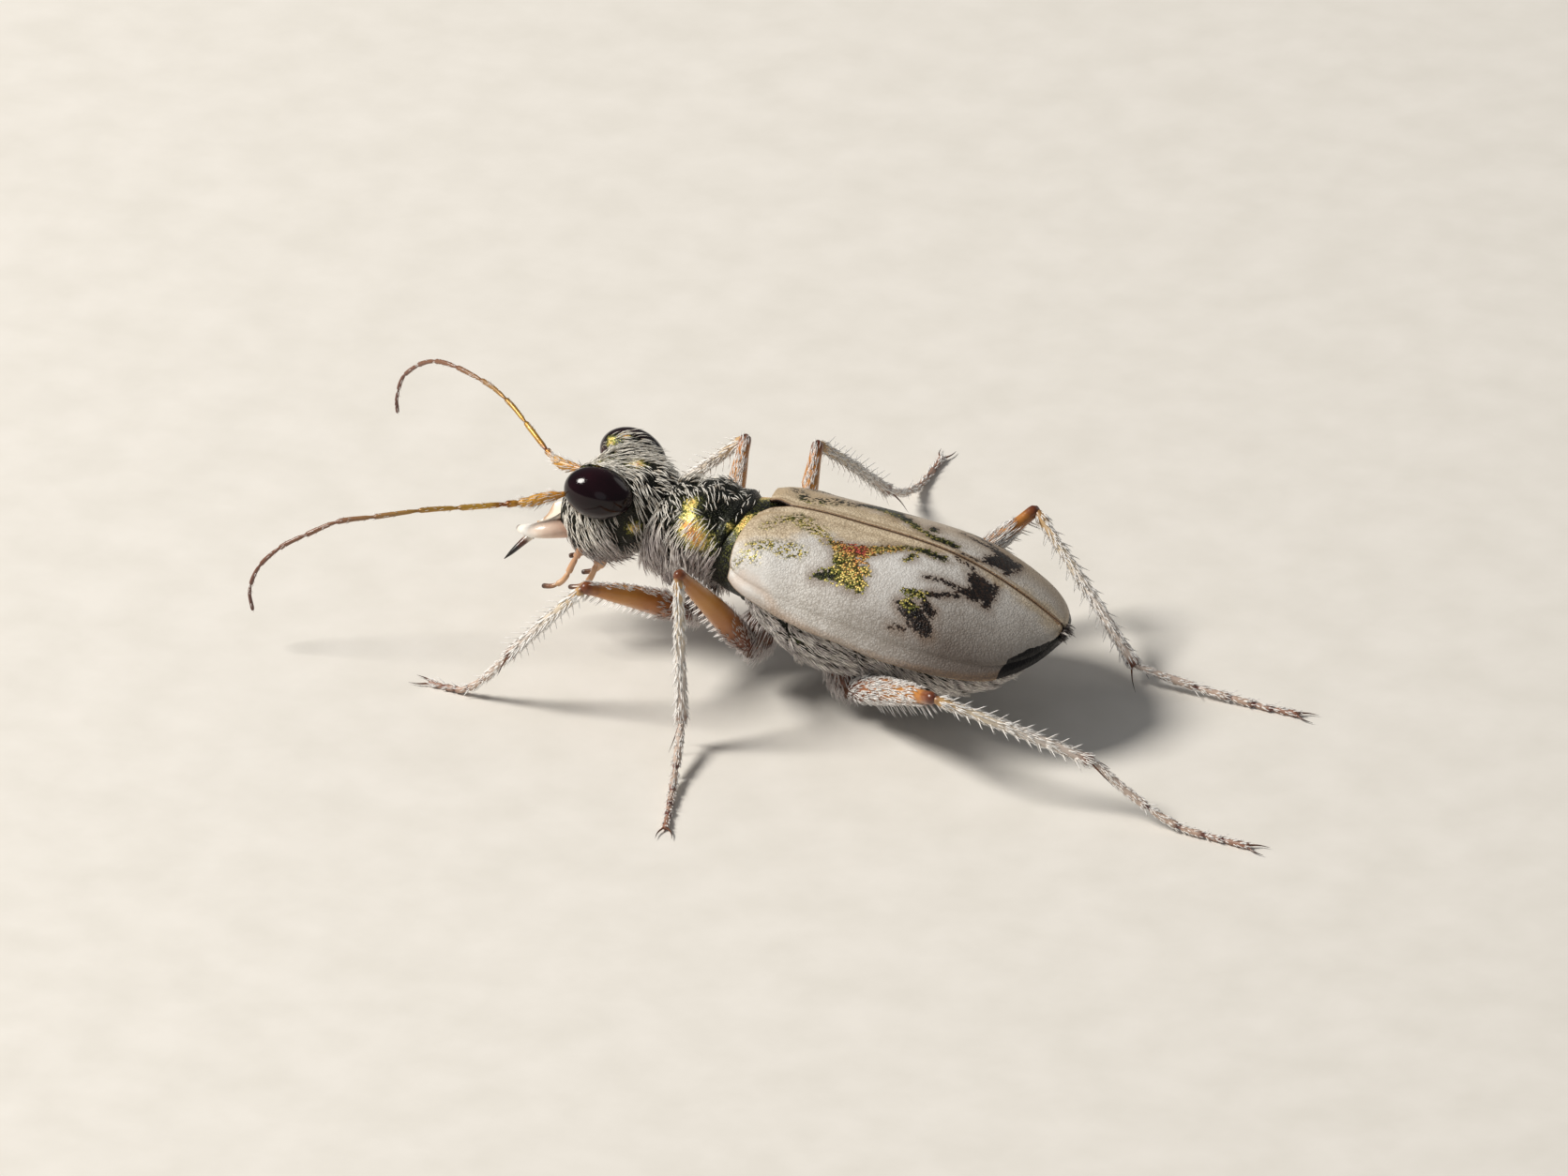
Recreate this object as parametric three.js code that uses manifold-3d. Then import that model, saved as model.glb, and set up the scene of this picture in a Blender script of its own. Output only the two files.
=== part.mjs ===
// A small pale tiger beetle standing on six long legs, life size, as a museum model.
// Units are millimetres. +Z is up, the head points along -X, the animal's left is -Y.
// Places are first given from the top of the back at the root of the wing cases,
// then everything is lifted by backHeight and centred over the floor.

import * as THREE from 'three';
import { mergeVertices } from 'three/addons/utils/BufferGeometryUtils.js';
import Module from 'manifold-3d';

const wasm = await Module();
wasm.setup();

// Driving sizes

const gap = 0.25;
const backHeight = 3.3;
const bodyRoll = THREE.MathUtils.degToRad(-4);
const headDrop = 0.065;
const wingCaseLength = 5.5;
const wingCaseThickness = 0.5;
const wingCaseEdge = 0.45;
const plateLip = 0.06;
const pronotumLength = 1.4;
const neckLean = 0.3;
const ringMiddle = 0.52;
const eyeSpacing = 0.85;
const eyeRadii = new THREE.Vector3(0.62, 0.44, 0.46);
const eyeCentre = new THREE.Vector3(-2.8, 0, 0.12);
const feelerRadius = 0.25;
const feelerTipRadius = 0.11;
const feelerTaperStart = 0.35;
const coxaRadius = 0.27;
const smallestEdge = 0.008;

// Shape helpers

// A smooth curve through a few [place, value] pairs, flat beyond its ends.
function smoothProfile(pairs) {
  const slope = pairs.map((pair, i) => {
    const before = pairs[Math.max(i - 1, 0)];
    const after = pairs[Math.min(i + 1, pairs.length - 1)];
    return (after[1] - before[1]) / (after[0] - before[0]);
  });
  return (place) => {
    const last = pairs.length - 1;
    if (place <= pairs[0][0]) return pairs[0][1];
    if (place >= pairs[last][0]) return pairs[last][1];
    const i = pairs.findIndex((pair) => pair[0] > place) - 1;
    const width = pairs[i + 1][0] - pairs[i][0];
    const t = (place - pairs[i][0]) / width;
    const rise = pairs[i + 1][1] - pairs[i][1];
    const bend = t * (t - 1) * width * (slope[i] * (t - 1) + slope[i + 1] * t);
    return pairs[i][1] + rise * t * t * (3 - 2 * t) + bend;
  };
}

// A closed skin over rings of equal point counts; each end is a fan or, for a crescent, a strip.
function loft(rings, crescentEnds = false) {
  const count = rings[0].length;
  const points = rings.flat();
  const faces = [];
  for (let r = 0; r + 1 < rings.length; r += 1) {
    for (let i = 0; i < count; i += 1) {
      const j = (i + 1) % count;
      const a = r * count + i;
      const b = r * count + j;
      faces.push([a, b, b + count], [a, b + count, a + count]);
    }
  }
  const lastRow = (rings.length - 1) * count;
  if (crescentEnds) {
    for (let i = 0; i + 1 < count / 2; i += 1) {
      const j = count - 1 - i;
      faces.push([i, j, j - 1], [i, j - 1, i + 1]);
      faces.push([lastRow + i, lastRow + j - 1, lastRow + j]);
      faces.push([lastRow + i, lastRow + i + 1, lastRow + j - 1]);
    }
  } else {
    for (const row of [0, lastRow]) {
      const middle = new THREE.Vector3();
      rings[row / count].forEach((point) => middle.addScaledVector(point, 1 / count));
      points.push(middle);
      for (let i = 0; i < count; i += 1) {
        const j = (i + 1) % count;
        const centre = points.length - 1;
        faces.push(row === 0 ? [row + j, row + i, centre] : [row + i, row + j, centre]);
      }
    }
  }
  const geometry = new THREE.BufferGeometry().setFromPoints(points);
  geometry.setIndex(faces.flat());
  return turnedOutwards(geometry);
}

// Reverses the faces of a closed skin whose signed volume is negative.
function turnedOutwards(geometry) {
  const place = geometry.getAttribute('position');
  const index = geometry.index.array;
  const corner = [0, 1, 2].map(() => new THREE.Vector3());
  let volume = 0;
  for (let i = 0; i < index.length; i += 3) {
    corner.forEach((point, k) => point.fromBufferAttribute(place, index[i + k]));
    volume += corner[0].dot(corner[1].clone().cross(corner[2]));
  }
  if (volume < 0) {
    for (let i = 0; i < index.length; i += 3) {
      [index[i + 1], index[i + 2]] = [index[i + 2], index[i + 1]];
    }
  }
  return geometry;
}

function superPoint(angle, width, height, squareness) {
  const power = 2 / squareness;
  const side = Math.sign(Math.sin(angle)) * Math.abs(Math.sin(angle)) ** power * width;
  const rise = Math.sign(Math.cos(angle)) * Math.abs(Math.cos(angle)) ** power * height;
  return [side, rise];
}

// A rounded limb along a smooth path: radius(t) runs from 0 at the root to 1 at the tip.
// Where floor is given, the underside is flattened there as a sole.
function limb(stops, radius, steps, sides, floor = null) {
  const path = new THREE.CatmullRomCurve3(stops, false, 'centripetal');
  const frames = path.computeFrenetFrames(steps, false);
  const rings = [];
  for (let r = 0; r <= steps; r += 1) {
    const centre = path.getPointAt(r / steps);
    const size = radius(r / steps);
    const ring = [];
    for (let i = 0; i < sides; i += 1) {
      const angle = (i / sides) * 2 * Math.PI;
      const point = centre.clone();
      point.addScaledVector(frames.normals[r], size * Math.cos(angle));
      point.addScaledVector(frames.binormals[r], size * Math.sin(angle));
      if (floor !== null) point.z = Math.max(point.z, floor);
      ring.push(point);
    }
    rings.push(ring);
  }
  return loft(rings);
}

function solidOf(geometry) {
  const bare = new THREE.BufferGeometry();
  bare.setAttribute('position', geometry.getAttribute('position'));
  if (geometry.index) bare.setIndex(geometry.index);
  const merged = mergeVertices(bare, 1e-5);
  return new wasm.Manifold(new wasm.Mesh({
    numProp: 3,
    vertProperties: new Float32Array(merged.attributes.position.array),
    triVerts: new Uint32Array(merged.index.array),
  }));
}

// The largest closed surface of a solid, as a three.js geometry without needle-thin faces.
function geometryOf(solid) {
  const pieces = solid.decompose();
  pieces.sort((a, b) => b.volume() - a.volume());
  const mesh = pieces[0].asOriginal().simplify(smallestEdge).getMesh();
  const geometry = new THREE.BufferGeometry();
  geometry.setAttribute('position', new THREE.BufferAttribute(mesh.vertProperties, 3));
  geometry.setIndex(new THREE.BufferAttribute(mesh.triVerts, 1));
  return geometry;
}

function fused(geometries) {
  const solids = geometries.map(solidOf);
  return geometryOf(solids.reduce((whole, part) => whole.add(part)));
}

function cut(geometry, cutters) {
  const tools = cutters.map(solidOf);
  return geometryOf(tools.reduce((whole, part) => whole.subtract(part), solidOf(geometry)));
}

// Materials

function finish(color, roughness, metalness) {
  return new THREE.MeshStandardMaterial({ color, roughness, metalness });
}

const ivoryShell = finish(0xd9d3c6, 0.45, 0.1);
const bronzeShell = finish(0x3c3524, 0.4, 0.6);
const paleHair = finish(0xb9b2a8, 0.8, 0);
const darkEye = finish(0x1a0d12, 0.15, 0);
const ivoryHorn = finish(0xe3d9c4, 0.4, 0);
const amberLeg = finish(0xb0732c, 0.45, 0);
const strawLeg = finish(0xc9bda4, 0.6, 0);
const feelerBrown = finish(0xa4662d, 0.5, 0);

const beetle = new THREE.Group();
const trunk = new THREE.Group();
const headGroup = new THREE.Group();
trunk.rotation.x = bodyRoll;
headGroup.rotation.x = bodyRoll;
headGroup.position.z = -headDrop;
beetle.add(trunk, headGroup);

function addNode(parent, name, geometry, material) {
  geometry.computeVertexNormals();
  const mesh = new THREE.Mesh(geometry, material);
  mesh.name = name;
  parent.add(mesh);
  return mesh;
}

const sides = [
  { name: 'left', sign: -1 },
  { name: 'right', sign: 1 },
];

// Hip, knee, ankle and toe places of the pose, from the same reference as the trunk
const legPlaces = {
  front_left: [[-1.1, -0.6, -2.1], [-2.33, -2.75, -0.67], [-3.75, -2.89, -2.28], [-5.3, -2.65]],
  middle_left: [[0.1, -0.95, -2.4], [-0.6, -2.71, -0.08], [-0.38, -3.15, -2.76], [0.35, -5.88]],
  hind_left: [[1.95, -1.05, -2.78], [4.23, -3.03, -1.41], [7.07, -2.69, -2.29], [10.02, -2.93]],
  front_right: [[-1.1, 0.6, -2.1], [-1.47, 2.95, -0.52], [-3.09, 2.85, -2.08], [-4.7, 3.2]],
  middle_right: [[0.1, 0.95, -2.4], [-0.23, 3.27, -0.57], [0.39, 5.25, -2.47], [0.4, 8.02]],
  hind_right: [[1.95, 1.05, -2.78], [3.85, 3.3, -1.11], [6.27, 1.75, -2.95], [9.35, 1.62]],
};

// The room that the thighs need, as the rolled trunk sees it
const thighRoom = Object.values(legPlaces).map(([hip, knee]) => (
  femur(new THREE.Vector3(...hip), new THREE.Vector3(...knee), gap).rotateX(-bodyRoll)));

// Wing cases: two domed plates over the trunk, widest behind the middle

const caseTop = smoothProfile([
  [0, 0], [1, 0], [1.85, -0.08], [2.8, -0.19], [3.5, -0.33], [4.2, -0.58], [4.9, -0.93], [5.5, -1.3],
]);
const caseHalfWidth = smoothProfile([
  [0, 1.3], [0.15, 1.46], [0.4, 1.58], [1.35, 1.7], [2.1, 1.78], [2.8, 1.84], [3.5, 1.86],
  [4.2, 1.76], [4.7, 1.56], [5, 1.3], [5.3, 0.82], [5.5, 0.3],
]);
const caseMargin = smoothProfile([
  [0, -0.88], [0.4, -1.11], [0.85, -1.28], [1.35, -1.41], [2.1, -1.5], [2.8, -1.6],
  [3.5, -1.64], [4.2, -1.69], [4.7, -1.72], [5, -1.64], [5.3, -1.52], [5.5, -1.45],
]);
const caseSquareness = 2.4;

// Inner wall of a wing case at a station: half width, and the height of its hollow.
function caseHollow(x) {
  const width = caseHalfWidth(x);
  const height = caseTop(x) - caseMargin(x);
  return {
    width: Math.max(width - wingCaseEdge, 0.5 * width),
    height: Math.max(height - wingCaseThickness, 0),
  };
}

function wingCase(sign) {
  const steps = 20;
  const arc = 9;
  const rings = [];
  for (let s = 0; s <= steps; s += 1) {
    const x = wingCaseLength * Math.sin((s / steps) * Math.PI / 2) ** 0.9;
    const inside = caseHollow(x);
    const height = caseTop(x) - caseMargin(x);
    const outer = [];
    const inner = [];
    for (let i = 0; i < arc; i += 1) {
      const angle = (i / (arc - 1)) * Math.PI / 2;
      const [side, rise] = superPoint(angle, 1, 1, caseSquareness);
      const seam = gap / 2;
      const outside = seam + side * (caseHalfWidth(x) - seam);
      outer.push(new THREE.Vector3(x, sign * outside, caseMargin(x) + rise * height));
      const within = seam + side * (inside.width - seam);
      inner.push(new THREE.Vector3(x, sign * within, caseMargin(x) + rise * inside.height));
    }
    rings.push([...outer, ...inner.reverse()]);
  }
  return loft(rings, true);
}

// The scutellum is a small shield between the roots of the wing cases, in a notch cut for it.
function shieldPrism(front, halfWidth, length, bottom, top) {
  const outline = new THREE.Shape();
  outline.moveTo(front, -halfWidth);
  outline.lineTo(front + 0.1, -halfWidth);
  outline.lineTo(length, -0.02);
  outline.lineTo(length, 0.02);
  outline.lineTo(front + 0.1, halfWidth);
  outline.lineTo(front, halfWidth);
  const prism = new THREE.ExtrudeGeometry(outline, { depth: top - bottom, bevelEnabled: false });
  return prism.translate(0, 0, bottom);
}

const shield = { halfWidth: 0.26, length: 0.5, top: -0.02 };
const notch = shieldPrism(-gap, shield.halfWidth + 1.6 * gap, shield.length + 1.4 * gap, -2, 1);
for (const { name, sign } of sides) {
  addNode(trunk, `elytron_${name}`, cut(wingCase(sign), [notch]), ivoryShell);
}

// Trunk under the wing cases: middle thorax, hind thorax and abdomen

const bellyLine = smoothProfile([
  [-0.4, -1.6], [0.4, -1.86], [0.9, -2.12], [1.7, -2.28], [2.3, -2.46], [2.7, -2.58],
  [3.7, -2.64], [4.6, -2.34], [5.2, -1.98], [5.7, -1.74],
]);

// How far the belly stands in from the edge of the wing cases: most beside the hind thighs.
const bellyInset = smoothProfile([[0, 0.4], [1.9, 0.45], [2.45, 0.68], [3, 0.56], [3.6, 0.3]]);

// One ring round the trunk: a dome that fits the hollow, a shelf under the edge, and the belly.
function trunkRing(x, shrink = 0) {
  const hollow = caseHollow(Math.min(x, wingCaseLength));
  const shelf = caseMargin(x) - gap;
  const domeWidth = Math.max(hollow.width - gap, 0.1) - shrink;
  const bellyWidth = Math.max(caseHalfWidth(x) - bellyInset(x), 0.42) - shrink;
  const depth = shelf - bellyLine(x) - shrink;
  const half = [];
  for (let i = 0; i < 5; i += 1) {
    const [side, rise] = superPoint((i / 4) * Math.PI / 2, domeWidth, hollow.height + 0.02, 2.2);
    half.push([side, shelf + rise]);
  }
  for (let i = 0; i < 6; i += 1) {
    const [side, drop] = superPoint(Math.PI / 2 + (i / 5) * Math.PI / 2, bellyWidth, depth, 2.2);
    half.push([side, shelf - 0.02 + drop]);
  }
  const other = half.slice(1, -1).reverse().map(([side, z]) => [-side, z]);
  return [...half, ...other].map(([side, z]) => new THREE.Vector3(x, side, z));
}

function middleThorax() {
  const rings = [0, 0.25, 0.5, 0.75].map((x) => trunkRing(x).map((point) => {
    const lean = neckLean * (1 - x / 0.75) * Math.min(point.z, 0);
    return point.setX(point.x + lean);
  }));
  const { halfWidth, length, top } = shield;
  return fused([loft(rings), shieldPrism(0.02, halfWidth, length, -1, top)]);
}

function hindThorax() {
  return loft([1, 1.35, 1.7, 2.05].map((x) => trunkRing(x)));
}

// Six belly plates, each standing a little proud of the next one's root.
function abdomen() {
  const plates = 6;
  const start = 2.3;
  const end = 5.62;
  const rings = [];
  for (let p = 0; p < plates; p += 1) {
    const root = start + (end - start) * (p / plates) ** 0.95;
    const rim = start + (end - start) * ((p + 1) / plates) ** 0.95;
    rings.push(trunkRing(root, plateLip));
    rings.push(trunkRing(THREE.MathUtils.lerp(root, rim, 0.5), plateLip / 3));
    rings.push(trunkRing(THREE.MathUtils.lerp(root, rim, 0.92), 0));
  }
  rings.push(trunkRing(end, 2 * plateLip));
  return loft(rings);
}

addNode(trunk, 'mesothorax', cut(middleThorax(), thighRoom), bronzeShell);
addNode(trunk, 'metathorax', cut(hindThorax(), thighRoom), paleHair);
addNode(trunk, 'abdomen', abdomen(), paleHair);

// Pronotum: a barrel with a groove near each end, leaning forward below

const collar = {
  top: smoothProfile([[0, -0.04], [0.1, 0.04], [0.2, 0.03], [0.5, 0.15], [0.8, 0.08], [0.9, 0.12], [1, 0.05]]),
  halfWidth: smoothProfile([
    [0, 0.86], [0.1, 0.93], [0.2, 0.86], [0.5, 0.98], [0.8, 0.84], [0.9, 0.86], [1, 0.8],
  ]),
  belly: smoothProfile([[0, -1.42], [0.5, -1.62], [1, -1.32]]),
};

// A ring whose top and bottom are given as [x, z], so that it may lean.
function leaningRing([topX, topZ], [bottomX, bottomZ], halfWidth, squareness, count = 20) {
  const ring = [];
  const middle = THREE.MathUtils.lerp(bottomZ, topZ, ringMiddle);
  for (let i = 0; i < count; i += 1) {
    const angle = (i / count) * 2 * Math.PI;
    const height = Math.cos(angle) > 0 ? topZ - middle : middle - bottomZ;
    const [side, rise] = superPoint(angle, halfWidth, height, squareness);
    const share = (middle + rise - bottomZ) / (topZ - bottomZ);
    ring.push(new THREE.Vector3(THREE.MathUtils.lerp(bottomX, topX, share), side, middle + rise));
  }
  return ring;
}

function pronotum() {
  const places = [0, 0.05, 0.12, 0.2, 0.35, 0.5, 0.65, 0.8, 0.88, 0.95, 1];
  return loft(places.map((place) => {
    const x = -gap - pronotumLength * place;
    const top = collar.top(place);
    const belly = collar.belly(place);
    return leaningRing(
      [x + neckLean * top, top], [x + neckLean * belly, belly], collar.halfWidth(place), 2.3);
  }));
}

addNode(trunk, 'pronotum', pronotum(), bronzeShell);

// Head: wide behind the eyes, with the face sloping down to the mouth

const headBack = -2 * gap - pronotumLength;
const headRings = [
  { top: [headBack, 0.2], bottom: [headBack - 0.34, -1.12], halfWidth: 0.68 },
  { top: [headBack - 0.12, 0.3], bottom: [headBack - 0.5, -1.26], halfWidth: 0.78 },
  { top: [headBack - 0.4, 0.36], bottom: [headBack - 0.8, -1.38], halfWidth: 0.83 },
  { top: [headBack - 0.75, 0.33], bottom: [headBack - 1.15, -1.42], halfWidth: 0.8 },
  { top: [headBack - 1.1, 0.2], bottom: [headBack - 1.42, -1.36], halfWidth: 0.74 },
  { top: [headBack - 1.38, -0.04], bottom: [headBack - 1.58, -1.26], halfWidth: 0.66 },
  { top: [headBack - 1.6, -0.26], bottom: [headBack - 1.68, -1.14], halfWidth: 0.57 },
  { top: [headBack - 1.78, -0.48], bottom: [headBack - 1.72, -1.04], halfWidth: 0.48 },
];

// An eye is a bulging cap; the head has a shallow recess of the same outline around it.
const eyeFlat = 0.72;
function eyeCap(grow, flat) {
  const steps = 7;
  const outline = [new THREE.Vector2(0, flat)];
  const reach = eyeSpacing + eyeRadii.y + grow;
  const start = Math.asin((flat - eyeSpacing) / (reach - eyeSpacing));
  for (let i = 0; i <= steps; i += 1) {
    const angle = start + (i / steps) * (Math.PI / 2 - start);
    const radius = i === steps ? 0 : Math.cos(angle);
    outline.push(new THREE.Vector2(radius, eyeSpacing + (reach - eyeSpacing) * Math.sin(angle)));
  }
  const cap = new THREE.LatheGeometry(outline, 18);
  return cap.scale(eyeRadii.x + grow, 1, eyeRadii.z + grow);
}

function placedCap(cap, sign) {
  if (sign < 0) cap.rotateZ(Math.PI);
  return cap.translate(eyeCentre.x, 0, eyeCentre.z);
}

const skull = loft(headRings.map((ring) => leaningRing(ring.top, ring.bottom, ring.halfWidth, 2.4)));
const recesses = sides.map(({ sign }) => placedCap(eyeCap(gap, eyeFlat - gap), sign));
addNode(headGroup, 'head', cut(skull, recesses), bronzeShell);
for (const { name, sign } of sides) {
  addNode(headGroup, `eye_${name}`, placedCap(eyeCap(0, eyeFlat), sign), darkEye);
}

// Labrum: the upper lip, a broad plate with a slightly toothed front edge
function labrum() {
  const slope = new THREE.Vector3(-0.85, 0, -0.53);
  const lastRing = headRings[headRings.length - 1];
  const root = new THREE.Vector3(lastRing.top[0], 0, lastRing.top[1] - 0.1).addScaledVector(slope, 1.3 * gap);
  const length = 0.42;
  const halfWidth = 0.44;
  const thickness = 0.24;
  const outline = new THREE.Shape();
  outline.moveTo(0, -halfWidth);
  outline.lineTo(0.6 * length, -halfWidth);
  for (let tooth = -2; tooth <= 2; tooth += 1) {
    const place = (tooth / 2.5) * halfWidth;
    outline.lineTo(length - 0.05 * Math.abs(tooth), place);
    if (tooth < 2) outline.lineTo(length - 0.06 - 0.05 * Math.abs(tooth + 0.5), place + 0.2 * halfWidth);
  }
  outline.lineTo(0.6 * length, halfWidth);
  outline.lineTo(0, halfWidth);
  const plate = new THREE.ExtrudeGeometry(outline, { depth: thickness, bevelEnabled: false });
  const across = new THREE.Vector3(0, 1, 0);
  const basis = new THREE.Matrix4().makeBasis(slope, across, slope.clone().cross(across));
  plate.translate(0, 0, -thickness / 2).applyMatrix4(basis);
  return plate.translate(root.x, root.y, root.z);
}

addNode(headGroup, 'labrum', labrum(), ivoryHorn);

// Jaws: long sickles that cross in front of the mouth, each with inner teeth
const jawPaths = {
  left: [[-3.88, -0.45, -1.28], [-4.25, -0.58, -1.3], [-4.62, -0.38, -1.36], [-4.86, 0.06, -1.44]],
  right: [[-3.88, 0.45, -1.34], [-4.18, 0.58, -1.54], [-4.48, 0.3, -1.76], [-4.68, -0.34, -1.92]],
};

function jaw(side) {
  const stops = jawPaths[side].map((stop) => new THREE.Vector3(...stop));
  const sickle = limb(stops, (t) => 0.2 * (1 - t) ** 0.7 + 0.03, 9, 8);
  const path = new THREE.CatmullRomCurve3(stops, false, 'centripetal');
  const inward = side === 'left' ? 1 : -1;
  const teeth = [0.35, 0.55].map((place) => {
    const root = path.getPointAt(place);
    const tip = root.clone().add(new THREE.Vector3(-0.06, inward * 0.34, -0.05));
    return limb([root, root.clone().lerp(tip, 0.5), tip], (t) => 0.1 * (1 - t) + 0.015, 2, 6);
  });
  return fused([sickle, ...teeth]);
}

for (const { name } of sides) addNode(headGroup, `mandible_${name}`, jaw(name), ivoryHorn);

// Palps: short jointed feelers under the jaws, thicker at each joint
function jointed(stops, joints, rootRadius, tipRadius, stepsPerJoint, count) {
  const steps = joints * stepsPerJoint;
  const radius = (t) => {
    const within = (t * joints) % 1;
    const pinch = t < 1 && within < 1e-6 && t > 0 ? 0.72 : 1;
    return THREE.MathUtils.lerp(rootRadius, tipRadius, t) * pinch;
  };
  return limb(stops, radius, steps, count);
}

for (const { name, sign } of sides) {
  const outer = [[-3.38, 0.56, -1.66], [-3.48, 0.66, -1.8], [-3.66, 0.7, -1.92], [-3.85, 0.66, -1.98]];
  const inner = [[-3.05, 0.28, -1.76], [-3.14, 0.32, -1.9], [-3.3, 0.34, -2.02], [-3.48, 0.32, -2.08]];
  const place = (stops) => stops.map(([x, y, z]) => new THREE.Vector3(x, sign * y, z));
  addNode(headGroup, `maxillary_palp_${name}`, jointed(place(outer), 3, 0.15, 0.08, 2, 6), ivoryHorn);
  addNode(headGroup, `labial_palp_${name}`, jointed(place(inner), 3, 0.14, 0.08, 2, 6), ivoryHorn);
}

// Feelers: eleven joints each, swept out and bent down at the end, kept as three lengths
const feelerPaths = {
  left: [
    [-3.92, -0.6, -0.36], [-4.2, -0.7, -0.42], [-5.12, -1.1, -0.49], [-5.85, -1.45, -0.51],
    [-6.62, -1.8, -0.61], [-7.23, -2.05, -0.7], [-7.74, -2.25, -0.95], [-8.17, -2.4, -1.21],
    [-8.56, -2.5, -1.64], [-8.72, -2.55, -2.11], [-8.67, -2.55, -2.51],
  ],
  right: [
    [-3.9, 0.6, -0.33], [-4.14, 0.68, -0.33], [-4.48, 0.95, -0.28], [-4.96, 1.35, -0.13],
    [-5.48, 1.75, 0.04], [-6.14, 2.2, 0.1], [-7.25, 2.75, 0], [-7.99, 3.1, -0.59],
    [-8.2, 3.2, -1.16], [-8.19, 3.2, -1.47],
  ],
};
const feelerJoints = [0.62, 0.28, 0.78, 0.72, 0.8, 0.65, 0.58, 0.52, 0.48, 0.42, 0.5];
const feelerLengths = [[0, 3], [3, 6], [6, 11]];

function feelerLength(side, [first, last]) {
  const path = new THREE.CatmullRomCurve3(
    feelerPaths[side].map((stop) => new THREE.Vector3(...stop)), false, 'centripetal');
  const total = feelerJoints.reduce((sum, length) => sum + length, 0);
  const reach = path.getLength();
  const ends = feelerJoints.map((length, i) => (
    feelerJoints.slice(0, i + 1).reduce((sum, part) => sum + part, 0) / total));
  const from = (first === 0 ? 0 : ends[first - 1] + gap / 2 / reach);
  const to = (last === 11 ? 1 : ends[last - 1] - gap / 2 / reach);
  const thickness = (place) => {
    const taper = Math.max(place - feelerTaperStart, 0) / (1 - feelerTaperStart);
    return THREE.MathUtils.lerp(feelerRadius, feelerTipRadius, taper);
  };
  const places = [{ at: from, swell: 0.9 }];
  for (let j = first; j < last; j += 1) {
    const begin = Math.max(j === 0 ? 0 : ends[j - 1], from);
    const end = Math.min(ends[j], to);
    places.push({ at: THREE.MathUtils.lerp(begin, end, 0.45), swell: 0.95 });
    places.push({ at: THREE.MathUtils.lerp(begin, end, 0.85), swell: 1 });
    if (j + 1 < last) places.push({ at: end, swell: 0.72 });
  }
  places.push({ at: to, swell: last === 11 ? 0.5 : 0.85 });
  const count = 6;
  const upward = new THREE.Vector3();
  const across = new THREE.Vector3();
  const rings = places.map(({ at, swell }) => {
    const centre = path.getPointAt(at);
    const along = path.getTangentAt(at);
    upward.set(0, 0, 1).addScaledVector(along, -along.z).normalize();
    across.crossVectors(along, upward);
    const size = thickness(at) * swell;
    return Array.from({ length: count }, (unused, i) => {
      const angle = (i / count) * 2 * Math.PI;
      return centre.clone()
        .addScaledVector(upward, size * Math.cos(angle))
        .addScaledVector(across, size * Math.sin(angle));
    });
  });
  return loft(rings);
}

for (const { name } of sides) {
  feelerLengths.forEach((range, i) => {
    addNode(beetle, `antenna_${name}_${i + 1}`, feelerLength(name, range), feelerBrown);
  });
}

// Legs: each hip joint starts inside the trunk at this place and runs out to the hip
const coxaRoots = {
  front: [-1.0, 0.3, -1.4],
  middle: [0.3, 0.35, -1.7],
  hind: [1.55, 0.4, -2.0],
};
const floorLevel = -backHeight;
const soleSink = 0.7;

// The trunk moved by the gap each way that a hip joint leaves it, which trims the joint.
const shadowSteps = [
  [0, 0, 0], [0, 0, -1], [0, -0.8, -0.6], [0, 0.8, -0.6], [-0.9, 0, -0.4], [0.9, 0, -0.4],
  [0.6, -0.6, -0.5], [0.6, 0.6, -0.5], [-0.6, -0.6, -0.5], [-0.6, 0.6, -0.5],
];
const trunkShadow = ['pronotum', 'mesothorax', 'metathorax', 'abdomen'].flatMap((name) => {
  const geometry = trunk.getObjectByName(name).geometry.clone().rotateX(bodyRoll);
  return shadowSteps.map(([x, y, z]) => geometry.clone().translate(x * gap, y * gap, z * gap));
});

function coxa(pair, sign, hip) {
  const [x, y, z] = coxaRoots[pair];
  const root = new THREE.Vector3(x, sign * y, z);
  const swell = smoothProfile([[0, 0.34], [0.6, 0.34], [0.85, coxaRadius], [1, 0.14]]);
  const end = hip.clone().addScaledVector(hip.clone().sub(root).normalize(), 0.5 * coxaRadius);
  return cut(limb(straightStops(root, end), swell, 6, 10), trunkShadow);
}

function straightStops(from, to) {
  return [from, from.clone().lerp(to, 0.5), to];
}

// A leg length grown by a margin all round is the room that the next one keeps clear of.
function femur(hip, knee, margin = 0) {
  const along = knee.clone().sub(hip).normalize();
  const start = hip.clone().addScaledVector(along, coxaRadius + gap);
  const end = knee.clone().addScaledVector(along, margin);
  const bulge = smoothProfile([[0, 0.24], [0.3, 0.29], [0.8, 0.23], [0.93, 0.24], [1, 0.17]]);
  return limb(straightStops(start, end), (t) => bulge(t) + margin, 8, 8);
}

function tibia(knee, ankle, margin = 0) {
  const along = ankle.clone().sub(knee).normalize();
  const end = ankle.clone().addScaledVector(along, margin);
  const shaft = smoothProfile([[0, 0.2], [0.15, 0.23], [0.5, 0.24], [0.92, 0.25], [1, 0.2]]);
  const rod = limb(straightStops(knee, end), (t) => shaft(t) + margin, 6, 8);
  const across = new THREE.Vector3(0, 0, 1).cross(along).normalize();
  const spurs = [-1, 1].map((sign) => {
    const root = ankle.clone().addScaledVector(along, -0.3).addScaledVector(across, sign * 0.12);
    const tip = root.clone().addScaledVector(along, 0.5).addScaledVector(across, sign * 0.46);
    return limb(straightStops(root, tip), (t) => 0.11 * (1 - t) + 0.02 + margin / 2, 2, 6);
  });
  return fused([rod, ...spurs]);
}

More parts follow.
